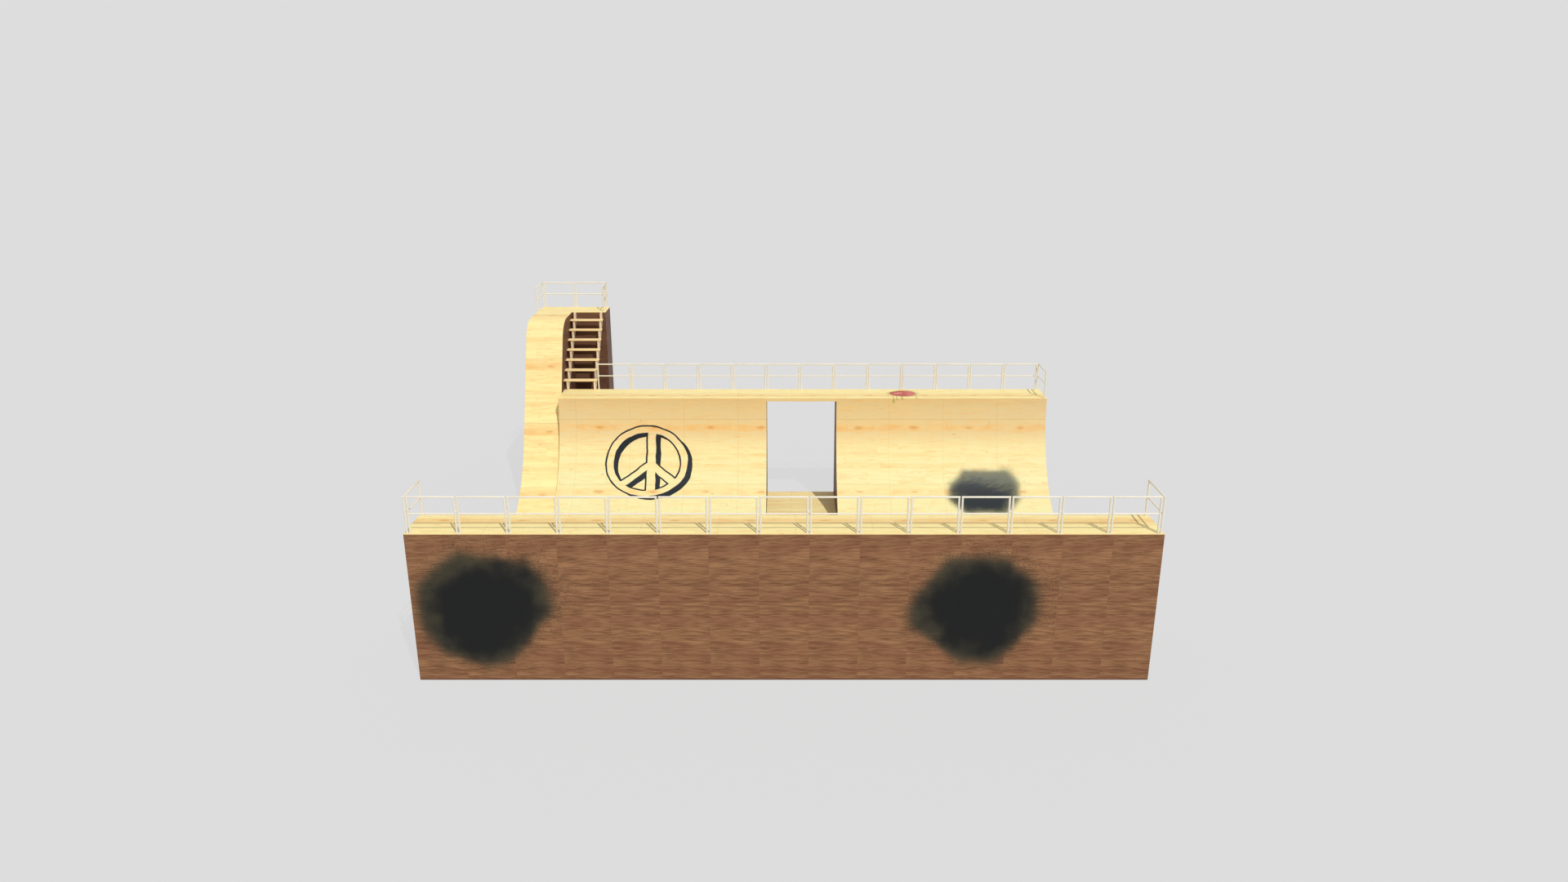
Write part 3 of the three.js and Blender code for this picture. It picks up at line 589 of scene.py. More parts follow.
# Sides of each spray's outline: the direction from the middle, in degrees, and the distance in metres
LEFT_SPRAY = (
    (0, 1.86), (40, 1.9), (80, 1.66), (130, 1.86), (180, 1.94), (215, 1.86), (250, 1.7), (285, 1.72),
    (322, 1.46),
)
RIGHT_SPRAY = (
    (0, 1.78), (49, 1.76), (90, 1.66), (145, 1.58), (180, 1.82), (232, 1.46), (270, 1.65), (321, 1.58),
)
CURVE_SPRAY = (
    (0, 1.34), (42, 1.34), (90, 0.97), (140, 1.22), (180, 1.34), (222, 1.3), (270, 0.98), (318, 1.2),
)
OUTLINE_ROUND = 0.12
SPRAY_BEND = 0.22
SPECKLES_PER_METRE = 27.0


def outline_reach(graph, u, v, sides):
    """0 at the middle of a rounded outline and 1 on it."""
    reach = None
    for angle, distance in sides:
        turn = math.radians(angle)
        side = u * (math.cos(turn) / distance) + v * (math.sin(turn) / distance)
        reach = side if reach is None else graph.maths("SMOOTH_MAX", reach, side, OUTLINE_ROUND)
    return reach


def spray(graph, along, run, middle, sides, seed, speckles=0.85):
    """A cloud of spray paint with speckles round it: its dense and thin masks, and its own two axes."""
    point = graph.point(along, run, seed)
    bend = graph.noise(point, 0.9, detail=3) - 0.5
    bend_too = graph.noise(graph.point(along, run, seed + 4), 0.9, detail=3) - 0.5
    u = along - middle[0] + bend * SPRAY_BEND
    v = run - middle[1] + bend_too * SPRAY_BEND
    reach = outline_reach(graph, u, v, sides)
    cloud = graph.noise(point, 1.3, detail=4)
    grit = (graph.noise(point, 55, detail=3, roughness=0.75) - 0.5) * 0.8
    thin = graph.smooth(reach + grit, 1.1, 0.93)
    dense = graph.smooth(reach + (cloud - 0.5) * 0.8 + grit, 1.12, 0.64)
    sockets = {"Vector": point, "Scale": SPECKLES_PER_METRE}
    cell = graph.node("ShaderNodeTexVoronoi", None, sockets, output="Distance")
    lot = graph.node("ShaderNodeTexVoronoi", None, sockets, output="Color")
    spread = reach - (u + v) * 0.05
    dots = graph.smooth(cell, 0.46, 0.3) * graph.smooth(lot - spread * 1.3, -0.82, -0.76)
    return dense, graph.higher(thin, dots * speckles), u, v


def sprayed(graph, colour_now, dense, thin, haze, core):
    """Lays the thin paint and then the dense paint over a colour."""
    hazed = graph.mix(thin * 0.92, colour_now, haze)
    return graph.mix(dense, hazed, core)


# Half of the smear's size along the lip and across it
SMEAR_HALF = (0.56, 0.42)


def smear_masks(graph, along, inset, paint):
    """A brushed smear behind the lip: its paint, its light streaks and its rim."""
    bristle = graph.noise(graph.point(along * 1.5, inset * 22), 1, detail=3) - 0.5
    shake = graph.noise(graph.point(along * 2, inset * 2), 1.6, detail=3) - 0.5
    u = (along - paint.smear_along) / SMEAR_HALF[0] + shake * 0.3
    v = (inset - paint.smear_inset) / SMEAR_HALF[1] + shake * 0.3
    taper = 1.2 - graph.smooth(u, -1.2, 0.2) * 0.3
    body = blob(u, v * taper, 1, 1)
    cover = graph.smooth(body + bristle * 0.5, 1.05, 0.8)
    streak = graph.smooth(blob(u + 0.3, v - 0.1, 0.36, 0.3) + bristle, 1.2, 0.2)
    blush = graph.smooth(u + bristle, 0.1, 0.5) * 0.45
    rim = graph.smooth(body + bristle * 0.8, 1.9, 1.0)
    return cover, graph.higher(streak, blush), rim


def smeared(graph, colour_now, cover, light, rim, looks):
    """Lays the rim, the paint and its light streaks over a colour."""
    rimmed = graph.mix(rim * 0.45, colour_now, looks.smear_rim)
    painted = graph.mix(cover * 0.96, rimmed, looks.smear)
    return graph.mix(light * cover * 0.85, painted, looks.smear_light)


# Runs of paint from the smear over the lip: place from its middle, length below the lip and half width
DRIPS = ((-0.42, 0.2, 0.018), (-0.29, 0.07, 0.02), (-0.08, 0.05, 0.03), (0.5, 0.015, 0.02))


def drips(graph, along, below, middle):
    """Paint that ran over the lip from the smear, with a soft patch round each run."""
    run, patch = 0.0, 0.0
    shake = graph.noise(graph.point(along * 4, below * 9), 1, detail=2) - 0.5
    for place, end, half in DRIPS:
        across = abs(along - middle - place + shake * 0.02)
        line = graph.smooth(across, half, half * 0.6) * graph.smooth(below, end, end - 0.02)
        run = graph.higher(run, line)
        stain = blob(across, below - end * 0.6, half * 5, end * 0.5 + 0.03)
        patch = graph.higher(patch, graph.smooth(stain + shake, 1.2, 0.2))
    return run, patch


def riding_wood(scene, name, curved=False, mark=None, right=False, warmer=0.0):
    """Planked veneer on a sheeted surface. The mark adds the paint that lies on that piece.

    The sheets right of the doorway have seams of their own, and a warmer surface has more yellow in it.
    """
    looks, sheets, paint = scene.ramp_finish, scene.ramp_sheets, scene.ramp_paint
    graph = Graph(name)
    along = graph.place()[0]
    run = graph.stored("run")
    start = sheets.right_seam_start if right else sheets.seam_start
    colour_now, height, streaks = veneer(graph, along, run, looks, sheets, start, curved, warmer)
    colour_now = layered_edge(graph, colour_now, looks)
    gloss = 0.0
    if mark == "sign":
        mask = sign_mask(graph, along, run, paint)
        colour_now = graph.mix(mask, colour_now, looks.marker)
        gloss = mask
    if mark == "spray":
        middle = (paint.curve_spray_along, paint.curve_spray_run)
        dense, thin, u, v = spray(graph, along, run, middle, CURVE_SPRAY, 3, speckles=0.2)
        strokes = graph.noise(graph.point(along * 2 + run, run * 9 - along * 4, 6), 1, detail=4)
        faded = graph.smooth(v + u * 0.3 + (strokes - 0.5) * 1.4, 0.05, 0.85)
        core = graph.mix(faded * 0.8, looks.curve_spray, looks.curve_haze)
        colour_now = sprayed(graph, colour_now, dense, thin, looks.curve_haze, core)
        below = RADIUS * math.pi / 2 + DECK_TOP - CENTRE_Z - run
        drip, patch = drips(graph, along, below, paint.smear_along)
        colour_now = graph.mix(patch * 0.4, colour_now, looks.smear_rim)
        colour_now = graph.mix(drip * 0.8, colour_now, looks.smear_drip)
        gloss = dense
    if mark == "smear":
        cover, light, rim = smear_masks(graph, along, run, paint)
        colour_now = smeared(graph, colour_now, cover, light, rim, looks)
        drip = drips(graph, along, 0 - run, paint.smear_along)[0] * graph.smooth(run, 0.45, 0.35)
        colour_now = graph.mix(drip * 0.7, colour_now, looks.smear_drip)
        gloss = cover
    return graph.finish(
        base_color=colour_now,
        roughness=0.6 - streaks * 0.14 - gloss * 0.12,
        normal=graph.bump(height, 0.0016),
    )


def stained_boards(scene, name, across_axis, sprays=False, aged=0.0):
    """Brown-stained cladding with short level streaks, cut at each bay. Painted shade darkens its foot,
    and by a share all of it.
    """
    looks, sheets, paint = scene.ramp_finish, scene.ramp_sheets, scene.ramp_paint
    graph = Graph(name)
    x, y, z = graph.place()
    along = (x, y)[across_axis]
    bays = along / sheets.bay + (0.5 if across_axis == 0 else 0.0)
    tier = (z / (UNDER_DECK / 2)).floor()
    seed = graph.chance(bays.floor(), tier) * 0.5 + tier * 5
    across = bays.fraction() * sheets.bay
    bend = graph.noise(graph.point(across * 1.5, z * 3, seed), 1) - 0.5
    fine = graph.noise(graph.point(across * 3.2, z * 84 + bend * 4, seed), 1, detail=4, roughness=0.65)
    broad = graph.noise(graph.point(across * 1.8, z * 27 + bend * 2, seed + 3), 1, detail=3)
    band = graph.noise(graph.point(across * 1.1, z * 7 + bend, seed + 5), 1, detail=2)
    patch = graph.noise(graph.point(across * 0.5, z * 2.2, seed + 7), 1, detail=2)
    streaks = graph.smooth(fine, 0.34, 0.66) * 0.42 + graph.smooth(broad, 0.38, 0.62) * 0.4
    light = streaks + graph.smooth(band, 0.34, 0.66) * 0.26 + (patch - 0.5) * 0.4 - 0.04
    colour_now = graph.mix(light.clamped(), looks.brown_dark, looks.brown_light)
    colour_now = graph.mix(graph.smooth(patch, 0.55, 0.38) * 0.3, colour_now, looks.brown_red)
    # Painted shade: the whole wall darkened by its share
    colour_now = graph.mix(aged, colour_now, looks.brown_shade)
    # Painted shade: every wall darkens towards its foot, a painted contact shadow where it meets the
    # floor
    colour_now = graph.mix(graph.smooth(z, 0.06, 0.015) * 0.75, colour_now, looks.brown_shade)
    gloss = 0.0
    if sprays:
        clouds = ((paint.left_spray_along, LEFT_SPRAY, 1), (paint.right_spray_along, RIGHT_SPRAY, 2))
        for middle, sides, number in clouds:
            dense, thin = spray(graph, x, z, (middle, paint.wall_spray_height), sides, number)[:2]
            colour_now = sprayed(graph, colour_now, dense, thin, looks.spray_haze, looks.spray)
            gloss = graph.higher(gloss, dense)
    return graph.finish(
        base_color=colour_now,
        roughness=0.62 - light * 0.12 - gloss * 0.1,
        normal=graph.bump(fine, 0.0012),
    )


def sawn_timber(scene, name, tint, figure=1.0):
    """Plain softwood for timbers that run any way, with faint rings and saw marks."""
    graph = Graph(name)
    x, y, z = graph.place()
    rings = graph.noise(graph.point(x * 2, y * 2, z * 2), 9, detail=4)
    saw = graph.noise(graph.point(x * 30, y * 30, z * 30), 1, detail=2)
    shade = (graph.smooth(rings, 0.3, 0.7) * 0.3 + saw * 0.12) * figure
    colour_now = graph.mix(shade, tint, scene.ramp_finish.knot)
    roughness = 0.72 - rings * 0.1
    return graph.finish(base_color=colour_now, roughness=roughness, normal=graph.bump(saw, 0.001))


def tread_wood(scene, name):
    """Planed boards with grain along X and a little wear along the edges."""
    looks = scene.ramp_finish
    graph = Graph(name)
    x, y, z = graph.place()
    number = (z * 3).floor()
    grain = graph.noise(graph.point(x * 1.4, y * 22, z * 22 + number * 5), 1, detail=4)
    broad = graph.noise(graph.point(x * 0.8, y * 5, number * 3), 1, detail=2)
    colour_now = graph.mix(graph.smooth(broad, 0.35, 0.7) * 0.5, looks.tread, looks.warm_wood)
    colour_now = graph.mix(graph.smooth(grain, 0.48, 0.75) * 0.25, colour_now, looks.orange_wood)
    roughness = 0.58 - grain * 0.12
    return graph.finish(base_color=colour_now, roughness=roughness, normal=graph.bump(grain, 0.001))


def powder_coat(scene, name):
    """Cream powder coat with its faint orange peel and a little dust."""
    looks = scene.ramp_finish
    graph = Graph(name, gleam=0.5)
    x, y, z = graph.place()
    point = graph.point(x, y, z)
    peel = graph.noise(point, 220, detail=2)
    stain = graph.noise(point, 5, detail=4)
    dusty = graph.smooth(stain, 0.55, 0.85) * 0.2
    colour_now = graph.mix(dusty, looks.rail, looks.framing)
    graph.surface.inputs["Coat Roughness"].default_value = 0.3
    return graph.finish(
        base_color=colour_now,
        roughness=0.42 + stain * 0.14,
        coat_weight=0.25 - dusty * 0.5,
        normal=graph.bump(peel, 0.0004, 0.3),
    )


def zinc(scene, name):
    """Zinc plate with a faint spangle."""
    graph = Graph(name, gleam=0.5)
    x, y, z = graph.place()
    spangle = graph.noise(graph.point(x, y, z), 90, detail=2)
    colour_now = graph.mix(spangle * 0.4, scene.ramp_finish.steel, scene.ramp_finish.spray_haze)
    return graph.finish(
        base_color=colour_now,
        metallic=0.85 - spangle * 0.1,
        roughness=0.4 + spangle * 0.2,
    )


def plain_veneer(scene, name):
    """Plain plywood without joints, with a level grain on sides along X and along Y."""
    looks = scene.ramp_finish
    graph = Graph(name)
    x, y, z = graph.place()
    grain = graph.noise(graph.point((x + y) * 1.2, (x - y) * 0.2, z * 24), 1, detail=4)
    broad = graph.noise(graph.point((x + y) * 0.7, (x - y) * 0.3, z * 4), 1, detail=2)
    colour_now = graph.mix(graph.smooth(broad, 0.35, 0.7) * 0.6, looks.lip_wood, looks.warm_wood)
    colour_now = graph.mix(graph.smooth(grain, 0.45, 0.75) * 0.4, colour_now, looks.orange_wood)
    roughness = 0.62 - grain * 0.1
    return graph.finish(base_color=colour_now, roughness=roughness, normal=graph.bump(grain, 0.001))


def dress(node, material):
    """Gives a CAD node that stays in view its finish."""
    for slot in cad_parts[node].material_slots:
        slot.material = material


# Modelling


def select(*pieces):
    """Selects these pieces and nothing else."""
    bpy.ops.object.select_all(action="DESELECT")
    for piece in pieces:
        piece.select_set(True)


def settle(piece, name):
    """Names a new primitive and puts its place and size into its mesh."""
    piece.name = piece.data.name = name
    bpy.ops.object.transform_apply(location=True, rotation=True, scale=True)
    return piece


def block(name, low, high):
    """A cube primitive between two corners."""
    select()
    low, high = Vector(low), Vector(high)
    bpy.ops.mesh.primitive_cube_add(size=1, location=(low + high) / 2)
    bpy.context.object.scale = high - low
    return settle(bpy.context.object, name)


def pipe(name, start, end, radius, sides):
    """A cylinder primitive between two points on one axis."""
    select()
    start, end = Vector(start), Vector(end)
    way = end - start
    bpy.ops.mesh.primitive_cylinder_add(
        vertices=sides, radius=radius, depth=way.length,
        location=(start + end) / 2, rotation=way.to_track_quat("Z", "Y").to_euler(),
    )
    return settle(bpy.context.object, name)


def ring(name, middle, radius, bead, turn):
    """A torus primitive: the weld bead round a tube."""
    select()
    bpy.ops.mesh.primitive_torus_add(
        major_radius=radius, minor_radius=bead, major_segments=20, minor_segments=6,
        location=middle, rotation=turn,
    )
    return settle(bpy.context.object, name)


def activate(piece, *others):
    """Selects a piece with any others and makes it the active one."""
    select(piece, *others)
    bpy.context.view_layer.objects.active = piece


def edit(piece):
    """Starts the edit mode of a piece."""
    activate(piece)
    bpy.ops.object.mode_set(mode="EDIT")


def leave():
    """Ends the edit mode."""
    bpy.ops.object.mode_set(mode="OBJECT")


def pick(piece, kind, test):
    """In edit mode, selects the faces, edges or verts of a piece that pass a test, and nothing else."""
    mesh = bmesh.from_edit_mesh(piece.data)
    mesh.normal_update()
    bpy.context.tool_settings.mesh_select_mode = (kind == "verts", kind == "edges", kind == "faces")
    mesh.select_mode = {{"verts": "VERT", "edges": "EDGE", "faces": "FACE"}[kind]}
    for element in (*mesh.faces, *mesh.edges, *mesh.verts):
        element.select = False
    for element in [element for element in getattr(mesh, kind) if test(element)]:
        element.select_set(True)
    mesh.select_flush_mode()
    bmesh.update_edit_mesh(piece.data)


def everything(element):
    return True


def facing(direction):
    """A test for faces that look in a direction."""
    return lambda face: face.normal.dot(direction) > FACING


def on_plane(vert, point, normal):
    return abs((vert.co - point).dot(normal)) < ON_PLANE


def groove(piece, seams, outside, sheets):
    """Cuts a fine groove into the outer faces along each seam, a plane given by a point and a normal."""
    edit(piece)
    for point, normal in seams:
        pick(piece, "faces", everything)
        bpy.ops.mesh.bisect(plane_co=point, plane_no=normal)

    def is_seam(edge):
        if not all(outside(face) for face in edge.link_faces):
            return False
        first, second = edge.verts
        return any(on_plane(first, *seam) and on_plane(second, *seam) for seam in seams)

    def is_bed(vert):
        if not all(outside(face) for face in vert.link_faces):
            return False
        return any(on_plane(vert, *seam) for seam in seams)

    pick(piece, "edges", is_seam)
    bpy.ops.mesh.bevel(offset=sheets.groove_width / 2, segments=2, affect="EDGES")
    pick(piece, "verts", is_bed)
    bpy.ops.transform.shrink_fatten(value=-sheets.groove_depth)
    leave()


def soften(piece, width, segments=2, angle=SHARP_BEND):
    """Rounds every sharp edge of a piece."""
    activate(piece)
    rounding = piece.modifiers.new("rounding", "BEVEL")
    rounding.width = width
    rounding.segments = segments
    rounding.limit_method = "ANGLE"
    rounding.angle_limit = angle
    bpy.ops.object.modifier_apply(modifier=rounding.name)


def shade(piece, angle=SMOOTH_BEND):
    """Smooths the edges that bend less than an angle."""
    activate(piece)
    bpy.ops.object.shade_smooth_by_angle(angle=angle)


def shade_sheet(piece):
    """Smooths the rounded edges and the grooves, and keeps the light even over the wide faces."""
    shade(piece)
    even = piece.modifiers.new("even faces", "WEIGHTED_NORMAL")
    even.keep_sharp = True
    bpy.ops.object.modifier_apply(modifier=even.name)


def store(piece, name, values):
    """Keeps one number for each vertex of a piece under a name that its material reads."""
    kept = piece.data.attributes.new(name, "FLOAT", "POINT")
    kept.data.foreach_set("value", values)


def measure(piece, run_of, depth_of):
    """Stores how far up its surface, and how deep under it, each vertex of a piece lies."""
    store(piece, "run", [run_of(vert.co) for vert in piece.data.vertices])
    store(piece, "depth", [depth_of(vert.co) for vert in piece.data.vertices])


def own(piece, material, slot, *nodes):
    """Gives a finished piece its one finish and its place in the object."""
    piece.data.materials.clear()
    piece.data.materials.append(material)
    hand_in(piece, slot, *nodes)


def hand_in(piece, slot, *nodes):
    """Says which body a piece rides and which nodes it replaces. Its slot is not used."""
    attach(piece, BODY)
    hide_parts(*nodes)


def duplicate(piece, name, move):
    """A copy with a mesh of its own, moved."""
    activate(piece)
    bpy.ops.object.duplicate(linked=False)
    copy = bpy.context.object
    copy.location = move
    return settle(copy, name)


def fuse(name, pieces):
    """Joins pieces into one object."""
    activate(*pieces)
    bpy.ops.object.join()
    return settle(bpy.context.object, name)


def discard(*pieces):
    """Deletes pieces that served as patterns."""
    select(*pieces)
    bpy.ops.object.delete()


def strip(name, low_x, high_x, foot):
    """The section of a riding skin at the foot of its curve: an upright plane as high as the sheet."""
    select()
    middle = Vector(((low_x + high_x) / 2, foot, FLOOR_TOP - SHEET / 2))
    bpy.ops.mesh.primitive_plane_add(size=1, location=middle, rotation=(math.pi / 2, 0, 0))
    bpy.context.object.scale = (high_x - low_x, SHEET, 1)
    return settle(bpy.context.object, name)


def seam_places(first, spacing, low, high):
    """Places of the seams that fall between two limits."""
    number = math.ceil((low - first) / spacing)
    places = []
    while first + number * spacing < high:
        places.append(first + number * spacing)
        number += 1
    return [place for place in places if place > low]


# Riding surfaces


def curve_seams(low_x, high_x, foot, heading, start, sheets):
    """Planes of the seams on a transition: upright ones along X and radial ones up the curve."""
    seams = [
        (X_AXIS * x, X_AXIS)
        for x in seam_places(start, sheets.sheet_length, low_x + SEAM_MARGIN, high_x - SEAM_MARGIN)
    ]
    for run in seam_places(sheets.first_seam, sheets.sheet_run, 0, RADIUS * math.pi / 2):
        angle = run / RADIUS
        normal = Vector((0, heading * math.cos(angle), math.sin(angle)))
        seams.append((Vector((0, foot, CENTRE_Z)), normal))
    return seams


def curved_sheets(name, low_x, high_x, foot, heading, start, sheets):
    """The skin of a transition: a strip of plywood spun up the curve and run up to the lip."""
    centre = Vector((0, foot, CENTRE_Z))
    piece = strip(name, low_x, high_x, foot)
    edit(piece)
    pick(piece, "faces", everything)
    bpy.ops.mesh.spin(steps=sheets.arc_steps, angle=-heading * math.pi / 2, center=centre, axis=X_AXIS)
    rise = UNDER_DECK - CENTRE_Z
    bpy.ops.mesh.extrude_region_move(TRANSFORM_OT_translate={"value": (0, 0, rise)})
    pick(piece, "faces", everything)
    bpy.ops.mesh.normals_make_consistent(inside=False)
    leave()

    def faces_rider(face):
        to_centre = centre - face.calc_center_median()
        to_centre.x = 0
        to_centre.z = max(to_centre.z, 0)
        return face.normal.dot(to_centre.normalized()) > FACING_RIDER

    seams = curve_seams(low_x, high_x, foot, heading, start, sheets)
    groove(piece, seams, faces_rider, sheets)

    def run_of(place):
        if place.z > CENTRE_Z:
            return RADIUS * math.pi / 2 + place.z - CENTRE_Z
        return RADIUS * math.atan2(heading * (place.y - foot), CENTRE_Z - place.z)

    def depth_of(place):
        if place.z > CENTRE_Z:
            return heading * (place.y - foot) - RADIUS
        return math.hypot(place.y - foot, CENTRE_Z - place.z) - RADIUS

    measure(piece, run_of, depth_of)
    shade_sheet(piece)
    return piece


class SKATERAMP_OT_riding_skins(bpy.types.Operator):
    """Lay the plywood sheets of the front and rear transitions"""

    bl_idname = "skate_ramp.riding_skins"
    bl_label = "Riding Skins"

    def execute(self, context):
        scene = context.scene
        sheets = scene.ramp_sheets
        skins = (
            ("front", "front_skin", FRONT_FOOT, -1, None),
            ("rear_left", "rear_left_skin", REAR_FOOT, 1, "sign"),
            ("rear_right", "rear_right_skin", REAR_FOOT, 1, "spray"),
        )
        for name, node, foot, heading, mark in skins:
            low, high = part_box(node)
            right = mark == "spray"
            start = sheets.right_seam_start if right else sheets.seam_start
            piece = curved_sheets(f"{name}_sheets", low.x, high.x, foot, heading, start, sheets)
            veneered = riding_wood(scene, f"{name} veneer", curved=True, mark=mark, right=right)
            own(piece, veneered, "plywood", node)
        return {"FINISHED"}


def roll_in_path(steps):
    """Points up the roll-in's riding surface, the run to each, and three places that shape it.

    The points go over the flat, the curve, the slope and the bullnose. The three places are the middle
    of the curve, the upper end of the slope and the middle of the bullnose.
    """
    foot = Vector((0, REAR_FOOT, FLOOR_TOP))
    centre = Vector((0, REAR_FOOT + ROLL_IN_SETBACK, CENTRE_Z))
    turns = [ROLL_IN_SLOPE * i / steps for i in range(steps + 1)]
    points = [foot]
    points += [centre + RADIUS * Vector((0, math.sin(turn), -math.cos(turn))) for turn in turns]
    nose_z = PLATFORM_TOP - BULLNOSE
    rise = nose_z + BULLNOSE * math.cos(ROLL_IN_SLOPE) - points[-1].z
    slope_end = points[-1] + Vector((0, rise / math.tan(ROLL_IN_SLOPE), rise))
    nose = Vector((0, slope_end.y + BULLNOSE * math.sin(ROLL_IN_SLOPE), nose_z))
    turns.reverse()
    points += [nose + BULLNOSE * Vector((0, -math.sin(turn), math.cos(turn))) for turn in turns]
    runs = [0.0]
    for before, after in zip(points, points[1:]):
        runs.append(runs[-1] + (after - before).length)
    return points, runs, centre, slope_end, nose


class SKATERAMP_OT_roll_in(bpy.types.Operator):
    """Lay the sheets of the roll-in: flat, curve, steep slope and bullnose"""

    bl_idname = "skate_ramp.roll_in"
    bl_label = "Roll-in"

    def execute(self, context):
        scene = context.scene
        sheets = scene.ramp_sheets
        low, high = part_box("roll_in_skin")
        points, runs, centre, slope_end, nose = roll_in_path(sheets.arc_steps)
        piece = strip("roll_in_sheets", low.x, high.x, REAR_FOOT)
        edit(piece)
        pick(piece, "faces", everything)
        bpy.ops.mesh.extrude_region_move(TRANSFORM_OT_translate={"value": (0, ROLL_IN_SETBACK, 0)})
        bpy.ops.mesh.spin(steps=sheets.arc_steps, angle=-ROLL_IN_SLOPE, center=centre, axis=X_AXIS)
        slope_start = points[1 + sheets.arc_steps]
        bpy.ops.mesh.extrude_region_move(TRANSFORM_OT_translate={"value": slope_end - slope_start})
        bpy.ops.mesh.spin(steps=sheets.arc_steps // 2, angle=ROLL_IN_SLOPE, center=nose, axis=X_AXIS)
        pick(piece, "faces", everything)
        bpy.ops.mesh.normals_make_consistent(inside=False)
        leave()

        def nearest(place):
            """The distance to the path and how far up it the nearest point is."""
            flat = Vector((0, place.y, place.z))
            number = min(range(len(points)), key=lambda i: (points[i] - flat).length_squared)
            best = (math.inf, 0.0)
            for i in (number - 1, number):
                if 0 <= i < len(points) - 1:
                    step = points[i + 1] - points[i]
                    share_along = min(max((flat - points[i]).dot(step) / step.length_squared, 0), 1)
                    distance = (points[i] + step * share_along - flat).length
                    best = min(best, (distance, runs[i] + share_along * step.length))
            return best

        measure(piece, lambda place: nearest(place)[1], lambda place: nearest(place)[0])
        shade_sheet(piece)
        own(piece, riding_wood(scene, "roll-in veneer", warmer=0.22), "plywood", "roll_in_skin")
        return {"FINISHED"}


# Flat sheets


def flat_sheets(name, low, high, sheets):
    """A deck or floor of plywood with grooves between its sheets and rounded edges."""
    piece = block(name, low, high)
    soften(piece, sheets.edge_round)
    limits = low[0] + SEAM_MARGIN, high[0] - SEAM_MARGIN
    places = seam_places(sheets.seam_start, sheets.sheet_length, *limits)
    groove(piece, [(X_AXIS * x, X_AXIS) for x in places], facing(Z_AXIS), sheets)
    return piece


def flat_measure(piece, lip, heading, top):
    """Stores how far behind its lip, and how deep under its top, each vertex of a level piece lies."""
    measure(piece, lambda place: heading * (place.y - lip), lambda place: top - place.z)


class SKATERAMP_OT_decks(bpy.types.Operator):
    """Lay the sheets of the two decks and of the tower's platform"""

    bl_idname = "skate_ramp.decks"
    bl_label = "Decks and Platform"

    def execute(self, context):
        scene = context.scene
        sheets = scene.ramp_sheets
        decks = (
            ("front_deck", FRONT_LIP, -1, None, 0.0),
            ("rear_deck", REAR_LIP, 1, "smear", -0.2),
        )
        for name, lip, heading, mark, warmer in decks:
            low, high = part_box(name)
            piece = flat_sheets(f"{name}_sheets", (low.x, low.y, DECK_TOP - SHEET), high, sheets)
            flat_measure(piece, lip, heading, DECK_TOP)
            shade_sheet(piece)
            veneered = riding_wood(scene, f"{name} veneer", mark=mark, warmer=warmer)
            own(piece, veneered, "plywood", name)
        self.lay_platform(scene, sheets)
        return {"FINISHED"}

    def lay_platform(self, scene, sheets):
        """Lays the L-shaped platform: its main sheet and the tongue that meets the roll-in."""
        low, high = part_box("tower_platform")
        side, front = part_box("tower_front_wall")[0].xy
        piece = block("platform_sheets", (low.x, front, PLATFORM_TOP - SHEET), high)
        edit(piece)
        pick(piece, "faces", everything)
        bpy.ops.mesh.bisect(plane_co=(side, 0, 0), plane_no=X_AXIS)
        looks_forward = facing(-Y_AXIS)
        pick(piece, "faces", lambda face: looks_forward(face) and face.calc_center_median().x < side)
        bpy.ops.mesh.extrude_region_move(TRANSFORM_OT_translate={"value": (0, low.y - front, 0)})
        leave()
        soften(piece, sheets.edge_round)
        groove(piece, [(Y_AXIS * front, Y_AXIS)], facing(Z_AXIS), sheets)
        flat_measure(piece, low.y, 1, PLATFORM_TOP)
        shade_sheet(piece)
        own(piece, riding_wood(scene, "platform veneer"), "plywood", "tower_platform")


# Cladding


def clad_wall(name, low, high, outward, sheets):
    """A wall of stained panels: upright seams each bay and one level seam half way up."""
    piece = block(name, low, high)
    soften(piece, sheets.edge_round)
    axis, direction = (0, X_AXIS) if outward.x == 0 else (1, Y_AXIS)
    limits = low[axis] + SEAM_MARGIN, high[axis] - SEAM_MARGIN
    places = seam_places(CAD_BOX[0][axis], sheets.bay, *limits)
    levels = seam_places(0.0, UNDER_DECK / 2, LEVEL_MARGIN, high[2] - LEVEL_MARGIN)
    seams = [(direction * place, direction) for place in places]
    seams += [(Z_AXIS * level, Z_AXIS) for level in levels]
    groove(piece, seams, facing(outward), sheets)
    shade_sheet(piece)
    return piece


